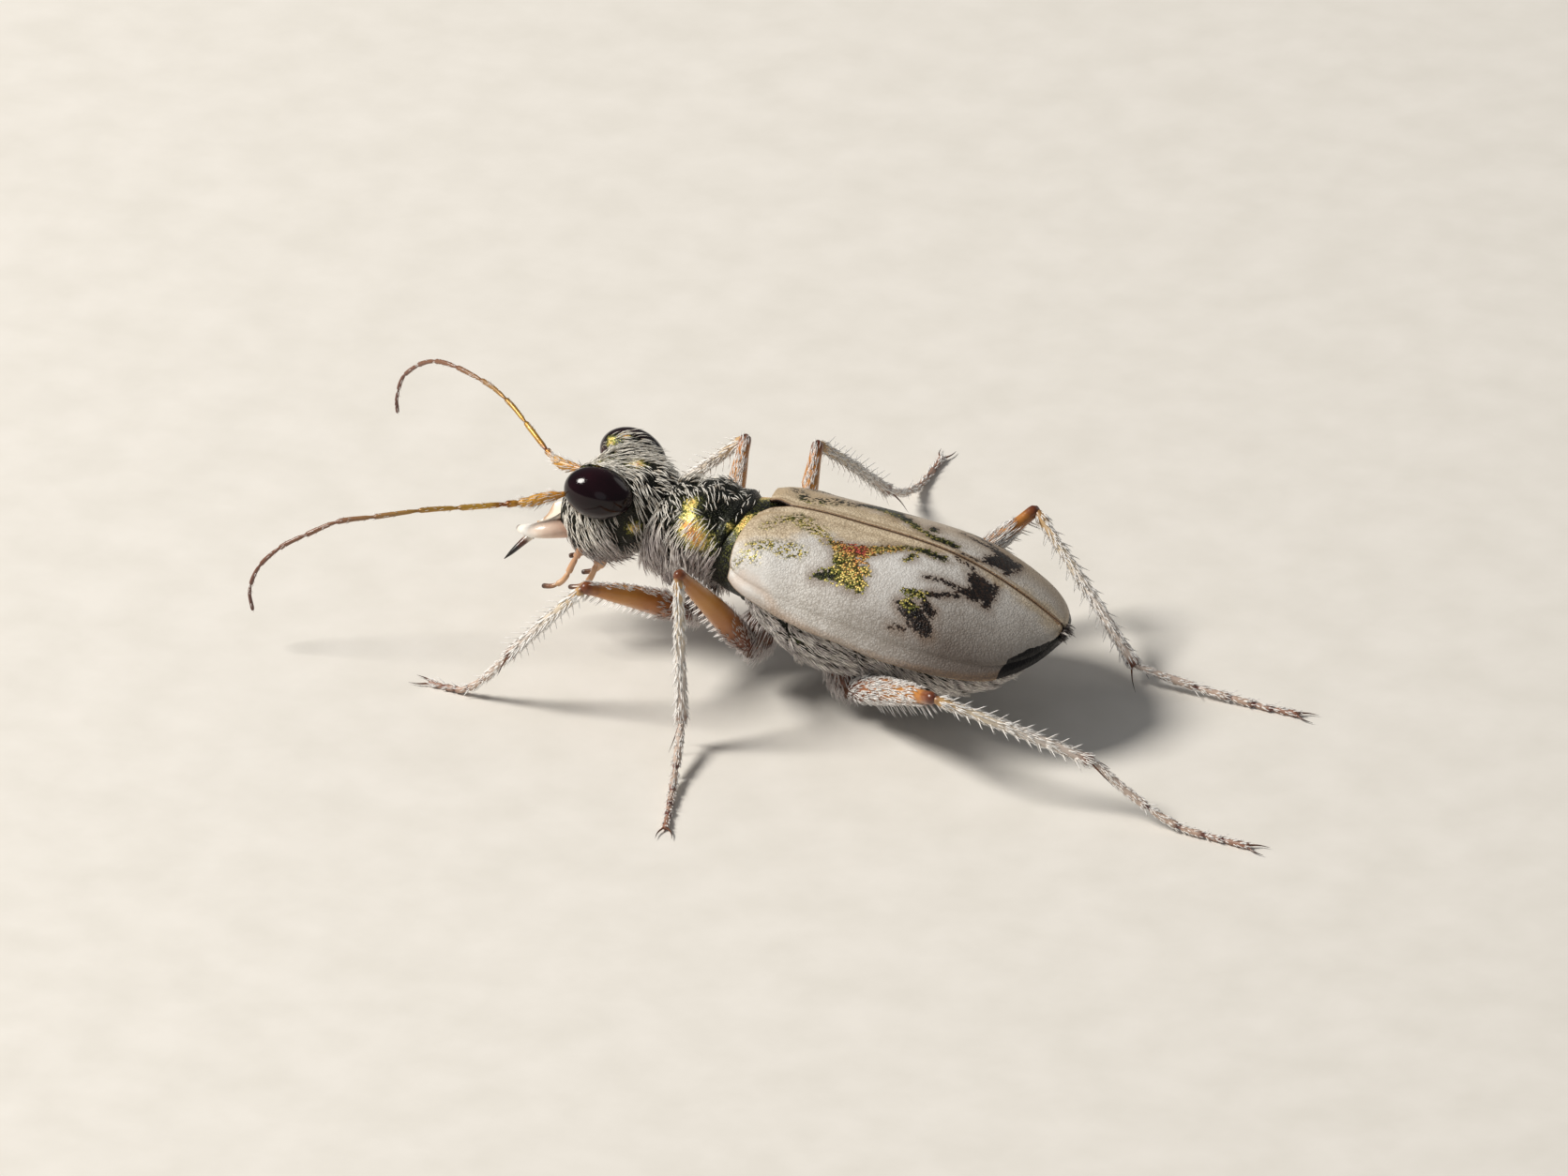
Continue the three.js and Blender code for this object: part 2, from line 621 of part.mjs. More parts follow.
// Five short foot joints, the last ones flat on the floor, and two splayed claws
function foot(ankle, toe) {
  const rest = (radius) => floorLevel + soleSink * radius;
  const settle = ankle.clone().lerp(toe, 0.62).setZ(rest(0.2));
  const stops = [
    ankle,
    ankle.clone().lerp(settle, 0.5).setZ(THREE.MathUtils.lerp(ankle.z, settle.z, 0.56)),
    settle,
    settle.clone().lerp(toe, 0.5).setZ(rest(0.17)),
    toe.clone().setZ(rest(0.14)),
  ];
  const ends = [0, 0.38, 0.58, 0.73, 0.84, 1];
  const size = (t) => {
    const joint = ends.filter((end) => end < t - 1e-6).length - 1;
    const within = joint < 0 ? 0 : (t - ends[joint]) / (ends[joint + 1] - ends[joint]);
    const swell = 0.78 + 0.22 * Math.min(within * 1.3, 1);
    return THREE.MathUtils.lerp(0.25, 0.14, t) * swell;
  };
  const rod = limb(stops, size, 15, 8, floorLevel);
  const forward = toe.clone().sub(settle).setZ(0).normalize();
  const across = new THREE.Vector3(-forward.y, forward.x, 0);
  const claws = [-1, 1].map((sign) => {
    const root = stops[4].clone().addScaledVector(forward, -0.08);
    const bend = root.clone().addScaledVector(forward, 0.26).addScaledVector(across, sign * 0.16);
    const tip = root.clone().addScaledVector(forward, 0.46).addScaledVector(across, sign * 0.2);
    bend.z = floorLevel + 0.12;
    tip.z = floorLevel + 0.04;
    return limb([root, bend, tip], (t) => 0.08 * (1 - t) + 0.02, 4, 6, floorLevel);
  });
  return fused([rod, ...claws]);
}

for (const [leg, stops] of Object.entries(legPlaces)) {
  const [hip, knee, ankle] = stops.slice(0, 3).map((stop) => new THREE.Vector3(...stop));
  const toe = new THREE.Vector3(...stops[3], floorLevel + 0.1);
  const [pair, side] = leg.split('_');
  addNode(beetle, `coxa_${leg}`, coxa(pair, side === 'left' ? -1 : 1, hip), amberLeg);
  addNode(beetle, `femur_${leg}`, femur(hip, knee), amberLeg);
  addNode(beetle, `tibia_${leg}`, cut(tibia(knee, ankle), [femur(hip, knee, gap)]), strawLeg);
  addNode(beetle, `tarsus_${leg}`, cut(foot(ankle, toe), [tibia(knee, ankle, gap)]), strawLeg);
}

// The floor is z = 0, and the origin is under the middle of the whole beetle.
beetle.updateMatrixWorld(true);
const reach = new THREE.Box3().setFromObject(beetle, true);
const centre = reach.getCenter(new THREE.Vector3());
beetle.position.set(-centre.x, -centre.y, -reach.min.z);

const part = new THREE.Group();
part.add(beetle);
export default part;
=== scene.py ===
# %% [markdown]
# # A small pale tiger beetle, life size
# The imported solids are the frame: they fix the size, the pose and the place of every part.
# This lesson dresses them. It works in millimetres from the top of the back, where the wing
# cases start, and turns each finished piece into the frame's metres at the very end.

# %% Load the frame
import bpy
import bmesh
import math
import random
import numpy as np
from mathutils import Matrix, Vector
from mathutils.geometry import interpolate_bezier


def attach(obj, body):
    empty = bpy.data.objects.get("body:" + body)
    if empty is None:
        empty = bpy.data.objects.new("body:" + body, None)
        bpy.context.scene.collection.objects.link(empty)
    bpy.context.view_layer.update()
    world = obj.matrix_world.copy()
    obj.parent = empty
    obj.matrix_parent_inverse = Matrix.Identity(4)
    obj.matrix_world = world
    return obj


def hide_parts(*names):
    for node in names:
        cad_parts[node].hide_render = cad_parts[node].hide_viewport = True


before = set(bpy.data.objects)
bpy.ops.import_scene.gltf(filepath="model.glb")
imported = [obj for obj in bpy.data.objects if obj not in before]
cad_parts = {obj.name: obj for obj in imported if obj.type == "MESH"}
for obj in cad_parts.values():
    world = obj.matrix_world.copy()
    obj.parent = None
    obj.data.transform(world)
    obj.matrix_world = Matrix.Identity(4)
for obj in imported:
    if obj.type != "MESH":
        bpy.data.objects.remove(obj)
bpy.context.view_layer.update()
scene = bpy.context.scene

# %% [markdown]
# ## The camera
# A macro lens sees a ten millimetre insect from far away compared with its size, so its lines
# hardly converge. That can be had with an orthographic camera, but a very long lens is truer:
# the near legs still come out a touch larger than the far ones. The camera looks down on the
# beetle's left side, a little from behind.

# %% Set up the camera
MM = 0.001
back_top = Vector((-0.796, -1.051, 3.3))
pixels_across, pixels_per_mm = 1672, 61
film_width = 36
azimuth = math.radians(20.43)
elevation = math.radians(30)
view_right = Vector((math.cos(azimuth), math.sin(azimuth), 0))
view_back = Vector((math.sin(azimuth) * math.cos(elevation),
                    -math.cos(azimuth) * math.cos(elevation), math.sin(elevation)))
view_up = view_back.cross(view_right)
camera_distance = 300
picture_width = pixels_across / pixels_per_mm
aim_right, aim_down = 0.328, 1.466
aim = back_top + aim_right * view_right - aim_down * view_up
lens = bpy.data.cameras.new("macro_camera")
lens.sensor_width = film_width
lens.lens = film_width * camera_distance / picture_width
lens.clip_start = 0.01
lens.clip_end = 5
camera = bpy.data.objects.new("macro_camera", lens)
place = (aim + view_back * camera_distance) * MM
turn = Matrix((view_right, view_up, view_back)).transposed().to_4x4()
camera.matrix_world = Matrix.Translation(place) @ turn
scene.collection.objects.link(camera)
scene.camera = camera
print("camera lens", round(lens.lens), "mm")

# %% [markdown]
# ## Shaders in words
# Each finish is a small tree of nodes. Writing a tree by hand takes many lines, so one helper
# adds a node with its settings, and short words such as plus, times and cover join values and
# colours. An effect that is wanted more than once becomes a node group with named inputs and
# outputs.

# %% Helpers for node trees
class Nodes:
    """Adds nodes to one tree; a value may be a number, a colour or another node's output."""
    def __init__(self, tree):
        self.tree = tree

    def put(self, socket, value):
        if isinstance(value, bpy.types.NodeSocket):
            self.tree.links.new(value, socket)
        elif value is not None:
            socket.default_value = value

    def add(self, kind, inputs=None, **settings):
        node = self.tree.nodes.new("ShaderNode" + kind)
        for name, value in settings.items():
            setattr(node, name, value)
        for name, value in (inputs or {}).items():
            self.put(node.inputs[name], value)
        return node

    def math(self, operation, *values):
        return self.add("Math", dict(enumerate(values)), operation=operation).outputs[0]

    def plus(self, first, second):
        return self.math("ADD", first, second)

    def less(self, first, second):
        return self.math("SUBTRACT", first, second)

    def times(self, first, second):
        return self.math("MULTIPLY", first, second)

    def scaled(self, value, factor, start):
        """Start, plus a value times a factor."""
        return self.math("MULTIPLY_ADD", value, factor, start)

    def most(self, first, second):
        return self.math("MAXIMUM", first, second)

    def noise(self, vector, scale, detail=3, roughness=0.5):
        values = {"Vector": vector, "Scale": scale, "Detail": detail, "Roughness": roughness}
        return self.add("TexNoise", values).outputs["Fac"]

    def waver(self, *noise_settings):
        """Noise that goes as far below zero as above it."""
        return self.less(self.noise(*noise_settings), 0.5)

    def step(self, value, low, high):
        values = {"Value": value, "From Min": low, "From Max": high}
        return self.add("MapRange", values, interpolation_type="SMOOTHSTEP").outputs[0]

    def fall(self, value, low, high):
        """The other way round: 1 up to low and 0 from high on."""
        return self.less(1.0, self.step(value, low, high))

    def mix(self, share, first, second):
        node = self.add("Mix", data_type="RGBA", clamp_factor=True)
        self.put(node.inputs[0], share)
        self.put(node.inputs[6], first)
        self.put(node.inputs[7], second)
        return node.outputs[2]

    def cover(self, color, share, strength, other):
        """The other colour laid over this one, by a share times a strength."""
        return self.mix(self.times(share, strength), color, other)

    def ramp(self, value, stops):
        """Colours along a value: a stop is a place, then red, green, blue or a linear colour."""
        node = self.add("ValToRGB", {"Fac": value})
        marks = node.color_ramp.elements
        while len(marks) < len(stops):
            marks.new(0.5)
        for mark, (place, *color) in zip(marks, stops):
            mark.position = place
            mark.color = solid(rgb(*color) if len(color) == 3 else color[0])
        return node.outputs["Color"]

    def attribute(self, name):
        return self.add("Attribute", attribute_name=name).outputs["Fac"]

    def here(self):
        return self.add("TexCoord").outputs["Object"]

    def group(self, tree, **inputs):
        node = self.add("Group", node_tree=tree)
        for name, value in inputs.items():
            self.put(node.inputs[name.replace("_", " ")], value)
        return node.outputs


def rgb(red, green, blue):
    """A colour as it looks on screen, 0 to 255, in the linear light that shaders use."""
    def linear(part):
        part /= 255
        return part / 12.92 if part <= 0.04045 else ((part + 0.055) / 1.055) ** 2.4
    return (linear(red), linear(green), linear(blue))


def solid(color):
    return (*color, 1)


def paint(red, green, blue):
    return solid(rgb(red, green, blue))


def node_group(name, inputs, outputs):
    """An empty node group with its sockets, and the nodes that carry them."""
    tree = bpy.data.node_groups.new(name, "ShaderNodeTree")
    for direction, sockets in (("INPUT", inputs), ("OUTPUT", outputs)):
        for label, kind in sockets.items():
            tree.interface.new_socket(label, in_out=direction, socket_type="NodeSocket" + kind)
    nodes = Nodes(tree)
    start = tree.nodes.new("NodeGroupInput")
    end = tree.nodes.new("NodeGroupOutput")
    return tree, nodes, start.outputs, end.inputs


def material(nodes, base, roughness, metallic=0.0, normal=None, coat=0.0, coat_roughness=0.2,
             ior=1.5, sheen=0.0):
    """Fills in the Principled shader of a finish whose tree was started by new_finish."""
    shader = nodes.tree.nodes["Principled BSDF"]
    nodes.put(shader.inputs["Base Color"], base)
    nodes.put(shader.inputs["Roughness"], roughness)
    nodes.put(shader.inputs["Metallic"], metallic)
    nodes.put(shader.inputs["Normal"], normal)
    shader.inputs["Coat Weight"].default_value = coat
    shader.inputs["Coat Roughness"].default_value = coat_roughness
    shader.inputs["IOR"].default_value = ior
    shader.inputs["Sheen Weight"].default_value = sheen
    print("finish", nodes.finish.name)
    return nodes.finish


def new_finish(name):
    finish = bpy.data.materials.new(name)
    finish.use_nodes = True
    nodes = Nodes(finish.node_tree)
    nodes.finish = finish
    return nodes


# %% [markdown]
# ## Grain, gilding and ragged marks
# Beetle shell is stippled all over with pits a few hundredths of a millimetre across. The
# darker parts are metallic, and their colour drifts from green through gold to copper because
# the shell is layered. Marks never have a ruled edge: the pits break them up. These three
# effects are used again and again, so each is built once as a group.

# %% Shared effects
def granules():
    """Round granules side by side: a random lot for each, their height, and the gaps between."""
    tree, nodes, given, result = node_group("granules", {"Vector": "Vector", "Scale": "Float"},
                                            {"Lot": "Float", "Gap": "Float", "Height": "Float"})
    cell = nodes.add("TexVoronoi", {"Vector": given["Vector"], "Scale": given["Scale"]})
    lot = nodes.add("SeparateColor", {"Color": cell.outputs["Color"]}).outputs["Red"]
    gap = nodes.step(cell.outputs["Distance"], 0.30, 0.62)
    swell = nodes.noise(given["Vector"], nodes.times(given["Scale"], 0.22), 3, 0.6)
    nodes.put(result["Lot"], lot)
    nodes.put(result["Gap"], gap)
    nodes.put(result["Height"], nodes.scaled(gap, -0.7, swell))
    return tree


def gilding():
    """Metallic colour that drifts from one granule to the next, with painted shade in the gaps."""
    tree, nodes, given, result = node_group(
        "gilding", {"Lot": "Float", "Gap": "Float", "Warmth": "Float", "Drift": "Float"},
        {"Color": "Color"})
    drift = nodes.less(given["Lot"], 0.5)
    warmth = nodes.scaled(drift, given["Drift"], given["Warmth"])
    color = nodes.ramp(warmth, [
        (0.0, (0.004, 0.004, 0.003)), (0.20, (0.020, 0.022, 0.009)), (0.36, (0.17, 0.18, 0.03)),
        (0.52, (0.95, 0.76, 0.24)), (0.70, (0.96, 0.46, 0.14)), (0.90, (0.74, 0.13, 0.10))])
    # painted shade: the gaps between granules darken towards near black
    shade = nodes.scaled(given["Gap"], -0.85, 1.0)
    nodes.put(result["Color"], nodes.mix(shade, solid((0.006, 0.007, 0.004)), color))
    return tree


def ragged_mask():
    """A mark that takes or leaves whole granules along its edge."""
    tree, nodes, given, result = node_group(
        "ragged_mask", {"Lot": "Float", "Vector": "Vector", "Depth": "Float", "Reach": "Float"},
        {"Mask": "Float"})
    wave = nodes.waver(given["Vector"], 6500, 3, 0.6)
    lot = nodes.less(given["Lot"], 0.5)
    rag = nodes.plus(nodes.times(lot, 0.6), wave)
    depth = nodes.scaled(rag, given["Reach"], given["Depth"])
    nodes.put(result["Mask"], nodes.step(depth, -0.010, 0.010))
    return tree


granule_group = granules()
gilding_group = gilding()
ragged_group = ragged_mask()


def bump(nodes, height, distance, strength=1.0):
    """A normal that looks raised by height times a distance in millimetres."""
    values = {"Height": height, "Strength": strength, "Distance": distance * MM}
    return nodes.add("Bump", values).outputs["Normal"]


# %% [markdown]
# ## The floor and the light
# The photo has low sun from ahead of the beetle, which puts one hard spark on each eye. A
# studio keeps that direction but makes it soft: a key lamp ahead, to the left and above, a
# weak wide one behind the far side that draws the rim, a weaker one on the camera's side, and
# a pale room. Directions start at the beetle; distances and sizes of lamps are in metres.

# %% Set up floor and lights
floor_half_width = 0.6


def pale_floor():
    bm = bmesh.new()
    bmesh.ops.create_grid(bm, x_segments=1, y_segments=1, size=floor_half_width)
    mesh = bpy.data.meshes.new("floor")
    bm.to_mesh(mesh)
    bm.free()
    floor = bpy.data.objects.new("floor", mesh)
    scene.collection.objects.link(floor)
    nodes = new_finish("floor_paper")
    tone = nodes.ramp(nodes.noise(nodes.here(), 900, 4),
                      [(0.3, 226, 222, 214), (0.7, 233, 229, 222)])
    mesh.materials.append(material(nodes, tone, 0.85))


def soft_lamp(name, direction, distance, size, power, color):
    """A round lamp that shines at the beetle from a direction."""
    lamp = bpy.data.lights.new(name, "AREA")
    lamp.shape = "DISK"
    lamp.size = size
    lamp.energy = power
    lamp.color = color
    direction = Vector(direction).normalized()
    thing = bpy.data.objects.new(name, lamp)
    thing.location = direction * distance
    thing.rotation_euler = direction.to_track_quat("Z", "Y").to_euler()
    scene.collection.objects.link(thing)


pale_floor()
soft_lamp("key_lamp", (-0.67, -0.27, 0.74), 0.25, 0.085, 0.74, (1.0, 0.96, 0.90))
soft_lamp("rim_lamp", (0.55, 0.80, 0.45), 0.30, 0.16, 0.06, (1.0, 0.97, 0.93))
soft_lamp("side_lamp", (0.25, -0.90, 0.30), 0.30, 0.16, 0.03, (0.90, 0.94, 1.0))
world = bpy.data.worlds.new("pale_room")
world.use_nodes = True
room = world.node_tree.nodes["Background"].inputs
room["Color"].default_value = (0.84, 0.85, 0.87, 1)
room["Strength"].default_value = 0.20
scene.world = world
scene.view_settings.view_transform = "Standard"
print("floor and three lamps")

# %% [markdown]
# ## Measuring helpers
# A beetle has hardly a straight line in it. A `profile` is a smooth curve through a few named
# places, and it gives a width or a height anywhere along a part. A `Path` is the same idea in
# space, for limbs and feelers. A `sleeve` is a cylinder cut into rings whose points are then
# set on those curves, so one operator makes everything from a jaw to the head.

# %% Profiles, paths and sleeves
def profile(*pairs):
    """A smooth curve through pairs of a place and a value there."""
    slopes = []
    for i in range(len(pairs)):
        before, after = pairs[max(i - 1, 0)], pairs[min(i + 1, len(pairs) - 1)]
        slopes.append((after[1] - before[1]) / (after[0] - before[0]))

    def curve(place):
        if place <= pairs[0][0]:
            return pairs[0][1]
        if place >= pairs[-1][0]:
            return pairs[-1][1]
        i = max(k for k in range(len(pairs)) if pairs[k][0] <= place)
        width = pairs[i + 1][0] - pairs[i][0]
        t = (place - pairs[i][0]) / width
        rise = pairs[i + 1][1] - pairs[i][1]
        bend = t * (t - 1) * width * (slopes[i] * (t - 1) + slopes[i + 1] * t)
        return pairs[i][1] + rise * t * t * (3 - 2 * t) + bend
    return curve


def smooth(value, low, high):
    """0 up to low, 1 from high on, and an even S between them."""
    t = min(max((value - low) / (high - low), 0), 1)
    return t * t * (3 - 2 * t)


def hump(value, middle, width):
    """1 at the middle, fading to nothing about two widths away."""
    return math.exp(-((value - middle) / width) ** 2)


def rounded(angle, squareness):
    """Across and up shares of a superellipse at an angle from its top."""
    power = 2 / squareness
    across, up = math.sin(angle), math.cos(angle)
    return math.copysign(abs(across) ** power, across), math.copysign(abs(up) ** power, up)


points_between_stops = 13


class Path:
    """A smooth line through a few places, walked by its length from 0 to 1."""
    def __init__(self, stops):
        stops = [Vector(stop) for stop in stops]
        line = [stops[0]]
        for i in range(len(stops) - 1):
            before = stops[max(i - 1, 0)]
            after = stops[min(i + 2, len(stops) - 1)]
            a, b = stops[i], stops[i + 1]
            reach = (b - a).length / 3
            hold_a = a + (b - before).normalized() * reach
            hold_b = b - (after - a).normalized() * reach
            line += interpolate_bezier(a, hold_a, hold_b, b, points_between_stops)[1:]
        self.line = line
        self.marks = [0.0]
        for a, b in zip(line, line[1:]):
            self.marks.append(self.marks[-1] + (b - a).length)
        self.length = self.marks[-1]
        along = (line[1] - line[0]).normalized()
        first = Vector((0, 0, 1)) if abs(along.z) < 0.9 else Vector((1, 0, 0))
        self.ups = []
        for i in range(len(line)):
            along = (line[min(i + 1, len(line) - 1)] - line[max(i - 1, 0)]).normalized()
            first = (first - along * first.dot(along)).normalized()
            self.ups.append(first)

    def at(self, t):
        """The place at share t, with the directions along, across and up there."""
        far = min(max(t, 0), 1) * self.length
        i = int(np.searchsorted(self.marks, far, side="right")) - 1
        i = min(max(i, 0), len(self.line) - 2)
        share = (far - self.marks[i]) / (self.marks[i + 1] - self.marks[i])
        along = (self.line[i + 1] - self.line[i]).normalized()
        up = self.ups[i].lerp(self.ups[i + 1], share)
        up = (up - along * up.dot(along)).normalized()
        return self.line[i].lerp(self.line[i + 1], share), along, along.cross(up), up


def add_sleeve(bm, around, along, shape):
    """A closed cylinder of rings in bm, each point set at shape(t, angle) with t from 0 to 1."""
    layer = bm.verts.layers.float.get("along") or bm.verts.layers.float.new("along")
    earlier = len(bm.verts)
    made = bmesh.ops.create_cone(bm, cap_ends=True, cap_tris=False, segments=around,
                                 radius1=1, radius2=1, depth=1)["verts"]
    uprights = {edge for point in made for edge in point.link_edges
                if abs(edge.verts[0].co.z - edge.verts[1].co.z) > 0.5}
    bmesh.ops.subdivide_edges(bm, edges=list(uprights), cuts=along - 1)
    bm.verts.ensure_lookup_table()
    for point in bm.verts[earlier:]:
        t = round((point.co.z + 0.5) * along) / along
        angle = math.atan2(point.co.y, point.co.x)
        point.co = shape(t, angle)
        point[layer] = t


def limb(path, radius, flat=1.0):
    """A round shape along a path; flat is its height over its width."""
    def shape(t, angle):
        centre, along, across, up = path.at(t)
        size = radius(t)
        return centre + across * (size * math.sin(angle)) + up * (size * flat * math.cos(angle))
    return shape


# %% [markdown]
# ## Finishing a piece
# Every piece ends the same way: its normals are turned outwards, it is moved into the frame, it
# rides on the model's one body, and it takes the place of the solids that it stands for. The
# beetle leans a little to its left in the photo, so trunk and head pieces are tilted first.

# %% Hand a shape over as a finished piece
trunk_tilt = Matrix.Rotation(math.radians(-4), 4, "X")
head_drop = 0.065
head_tilt = Matrix.Translation((0, 0, -head_drop)) @ trunk_tilt
level = Matrix.Identity(4)
to_frame = Matrix.Scale(MM, 4) @ Matrix.Translation(back_top)
pieces = {}


def finished(bm, name, finish, slot, stands_for=(), tilt=level, shell=0.0):
    """Makes a shape in millimetres into a piece."""
    bmesh.ops.recalc_face_normals(bm, faces=bm.faces)
    bmesh.ops.transform(bm, matrix=to_frame @ tilt, verts=bm.verts)
    mesh = bpy.data.meshes.new(name)
    bm.to_mesh(mesh)
    bm.free()
    dressed(mesh, name, finish, slot, stands_for, shell)


def dressed(mesh, name, finish, slot, stands_for=(), shell=0.0):
    """Makes a mesh in the frame's metres into a piece; shell is a wall in millimetres."""
    mesh.polygons.foreach_set("use_smooth", [True] * len(mesh.polygons))
    mesh.materials.append(finish)
    thing = bpy.data.objects.new(name, mesh)
    scene.collection.objects.link(thing)
    if shell:
        wall = thing.modifiers.new("shell_wall", "SOLIDIFY")
        wall.thickness = shell * MM
        wall.offset = -1
    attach(thing, "root")
    if stands_for:
        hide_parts(*stands_for)
    pieces[name] = thing
    print("piece", name, len(mesh.polygons), "faces")


sides = {"left": -1, "right": 1}

# %% [markdown]
# ## The shape of a wing case
# A wing case is a domed plate: flat along the back, steep at the side, with a square shoulder
# and a blunt tip. It could be cut from a sphere, but a grid bent over three profiles, for the
# ridge of the back, the half width and the side edge, holds the real outline from above and
# from the side. The side edge turns up into a fine rim and then folds under the body.

# %% Profiles of the wing case
case_length = 5.53
case_top = profile((0, 0), (1, 0), (1.85, -0.08), (2.8, -0.19), (3.5, -0.33), (4.2, -0.58),
                   (4.9, -0.93), (5.5, -1.3))
case_half = profile((0, 1.30), (0.15, 1.46), (0.4, 1.58), (1.35, 1.7), (2.1, 1.78), (2.8, 1.84),
                    (3.5, 1.86), (4.2, 1.76), (4.7, 1.57), (5, 1.35), (5.25, 1.04), (5.42, 0.68),
                    (5.5, 0.36), (5.53, 0.1))
case_margin = profile((0, -0.84), (0.4, -1.02), (0.85, -1.18), (1.35, -1.31), (2.1, -1.42),
                      (2.8, -1.55), (3.5, -1.62), (4.2, -1.69), (4.7, -1.72), (5, -1.67),
                      (5.3, -1.59), (5.5, -1.5))
shield_half = 0.27
shield_length = 0.5
fold_share = 0.12


def wing_case_point(x, share, side):
    """Share is 0 at the seam of the back and 1 at the side edge; past 1 it folds under."""
    across, up = rounded(min(share, 1) * math.pi / 2, 2.4)
    inner = max(0.004, shield_half * (1 - x / shield_length))
    half, low, high = case_half(x), case_margin(x), case_top(x)
    y = inner + across * (half - inner)
    z = low + up * (high - low)
    front_drop = 0.09 * hump(x, 0, 0.14) * (1 - across)
    side_rim = 0.05 * smooth(share, 0.93, 1) - 0.03 * hump(share, 0.9, 0.035)
    seam_ridge = 0.018 * hump(share, 0.015, 0.015) - 0.012 * hump(share, 0.05, 0.02)
    shoulder = 0.05 * hump(x, 0.55, 0.35) * hump(share, 0.62, 0.16)
    z -= front_drop
    y += side_rim
    z += seam_ridge
    y += shoulder
    z += shoulder
    fold = max(share - 1, 0) / fold_share
    y -= 0.24 * fold ** 1.3
    z -= 0.07 * math.sin(fold * math.pi * 0.6)
    return Vector((x - 0.13 * hump(x, 0, 0.3) * across, side * max(y, 0.003), z))


# %% [markdown]
# ## The marks on the wing cases
# The species is told by its broken dark marks: a copper and green blot at the middle with a
# thin line running back from it, two brown blots near the end, and a dusting at the shoulder.
# Painting them as an image would fix them to one view. Here each mark is a few brush strokes.
# A stroke goes from one place to another, both given in millimetres back from the shoulder and
# out from the seam, with a half width at each. Every point of the mesh stores how deep it lies
# in them, and the shader turns that depth into a ragged edge. Soft oval spots say where the
# metal is warm and the shell smooth, and where painted light makes the ivory brighter on the
# top and the shoulder and painted shade makes it darker low on the flank.

# %% Brush strokes and how deep a point lies in them
# back, out and half width at one end of a stroke, then at the other
strokes = {"metal": [
    (1.48, 0.79, 0.06, 1.70, 0.85, 0.10), (1.70, 0.88, 0.12, 2.12, 0.84, 0.18),
    (2.12, 0.84, 0.16, 2.40, 0.63, 0.11), (2.40, 0.63, 0.10, 2.75, 0.39, 0.07),
    (2.75, 0.39, 0.06, 3.12, 0.25, 0.08), (3.15, 0.29, 0.08, 3.40, 0.27, 0.10),
    (1.90, 1.09, 0.22, 2.15, 1.42, 0.21), (2.15, 1.42, 0.20, 2.30, 1.52, 0.12),
    (1.45, 1.54, 0.04, 1.80, 1.44, 0.13), (1.80, 1.42, 0.15, 2.12, 1.38, 0.20),
    (2.93, 0.57, 0.09, 2.90, 0.68, 0.05), (2.25, 1.20, 0.12, 2.33, 1.25, 0.07),
], "green": [
    (3.12, 1.37, 0.06, 3.38, 1.32, 0.08), (3.18, 1.58, 0.07, 3.30, 1.60, 0.10),
], "brown": [
    (4.10, 0.41, 0.17, 4.28, 0.66, 0.20), (4.30, 0.40, 0.12, 4.40, 0.86, 0.07),
    (3.95, 0.88, 0.07, 4.15, 0.79, 0.16), (4.00, 0.28, 0.05, 3.88, 0.14, 0.03),
    (3.88, 0.14, 0.03, 3.58, 0.08, 0.015), (4.38, 0.26, 0.04, 4.42, 0.49, 0.06),
    (3.33, 0.94, 0.02, 3.62, 0.85, 0.03), (3.62, 0.85, 0.03, 3.88, 0.86, 0.05),
    (3.88, 0.86, 0.05, 4.10, 0.84, 0.07), (3.38, 1.32, 0.05, 3.65, 1.17, 0.05),
    (3.65, 1.17, 0.05, 3.93, 1.01, 0.05), (3.05, 1.60, 0.05, 3.25, 1.63, 0.16),
    (3.25, 1.63, 0.16, 3.48, 1.77, 0.19), (3.48, 1.77, 0.19, 3.62, 1.87, 0.13),
    (3.45, 1.36, 0.06, 3.60, 1.57, 0.11), (3.00, 2.05, 0.01, 3.23, 2.00, 0.03),
], "dust": [
    (0.35, 0.64, 0.12, 0.73, 0.38, 0.14), (0.73, 0.38, 0.18, 1.38, 0.69, 0.16),
    (0.28, 1.18, 0.14, 1.07, 1.20, 0.15), (0.12, 1.36, 0.08, 0.40, 1.41, 0.10),
], "smear": [
    (0.18, 1.66, 0.14, 0.93, 2.36, 0.10), (0.9, 2.36, 0.10, 1.7, 2.5, 0.04),
]}
far_outside = -0.5
# strength, back, out, and half size along and out
warm_spots = [
    (0.50, 1.98, 0.78, 0.42, 0.26), (0.26, 2.12, 1.28, 0.26, 0.30), (0.22, 2.62, 0.48, 0.30, 0.20),
    (0.06, 0.7, 0.9, 0.8, 0.8), (-0.10, 1.5, 1.5, 0.25, 0.25), (-0.08, 3.3, 0.3, 0.2, 0.2)]
# painted light and shade on the ivory: strength, back, out, and half size along and out
painted_light_spots = [(1.0, 2.7, 1.1, 0.8, 0.55), (1.2, 0.3, 1.85, 0.5, 0.45), (-0.8, 2.2, 2.4, 2.6, 0.5)]
smooth_spots = [(1.0, 0.35, 1.9, 0.5, 0.45)]
beige_edge = profile((0, 1.0), (0.5, 1.10), (1.0, 0.80), (1.42, 0.70), (2.0, 0.68), (2.58, 0.44),
                     (3.15, 0.25), (3.6, 0.12), (4.2, 0.10), (4.9, 0.20), (5.4, 0.35))


def stroke_depth(x, out, lines):
    """For arrays of places: millimetres inside the nearest stroke, negative outside."""
    best = np.full(x.shape, far_outside)
    for x1, out1, r1, x2, out2, r2 in lines:
        dx, dout = x2 - x1, out2 - out1
        t = np.clip(((x - x1) * dx + (out - out1) * dout) / (dx * dx + dout * dout), 0, 1)
        distance = np.hypot(x - x1 - t * dx, out - out1 - t * dout)
        best = np.maximum(best, r1 + (r2 - r1) * t - distance)
    return best


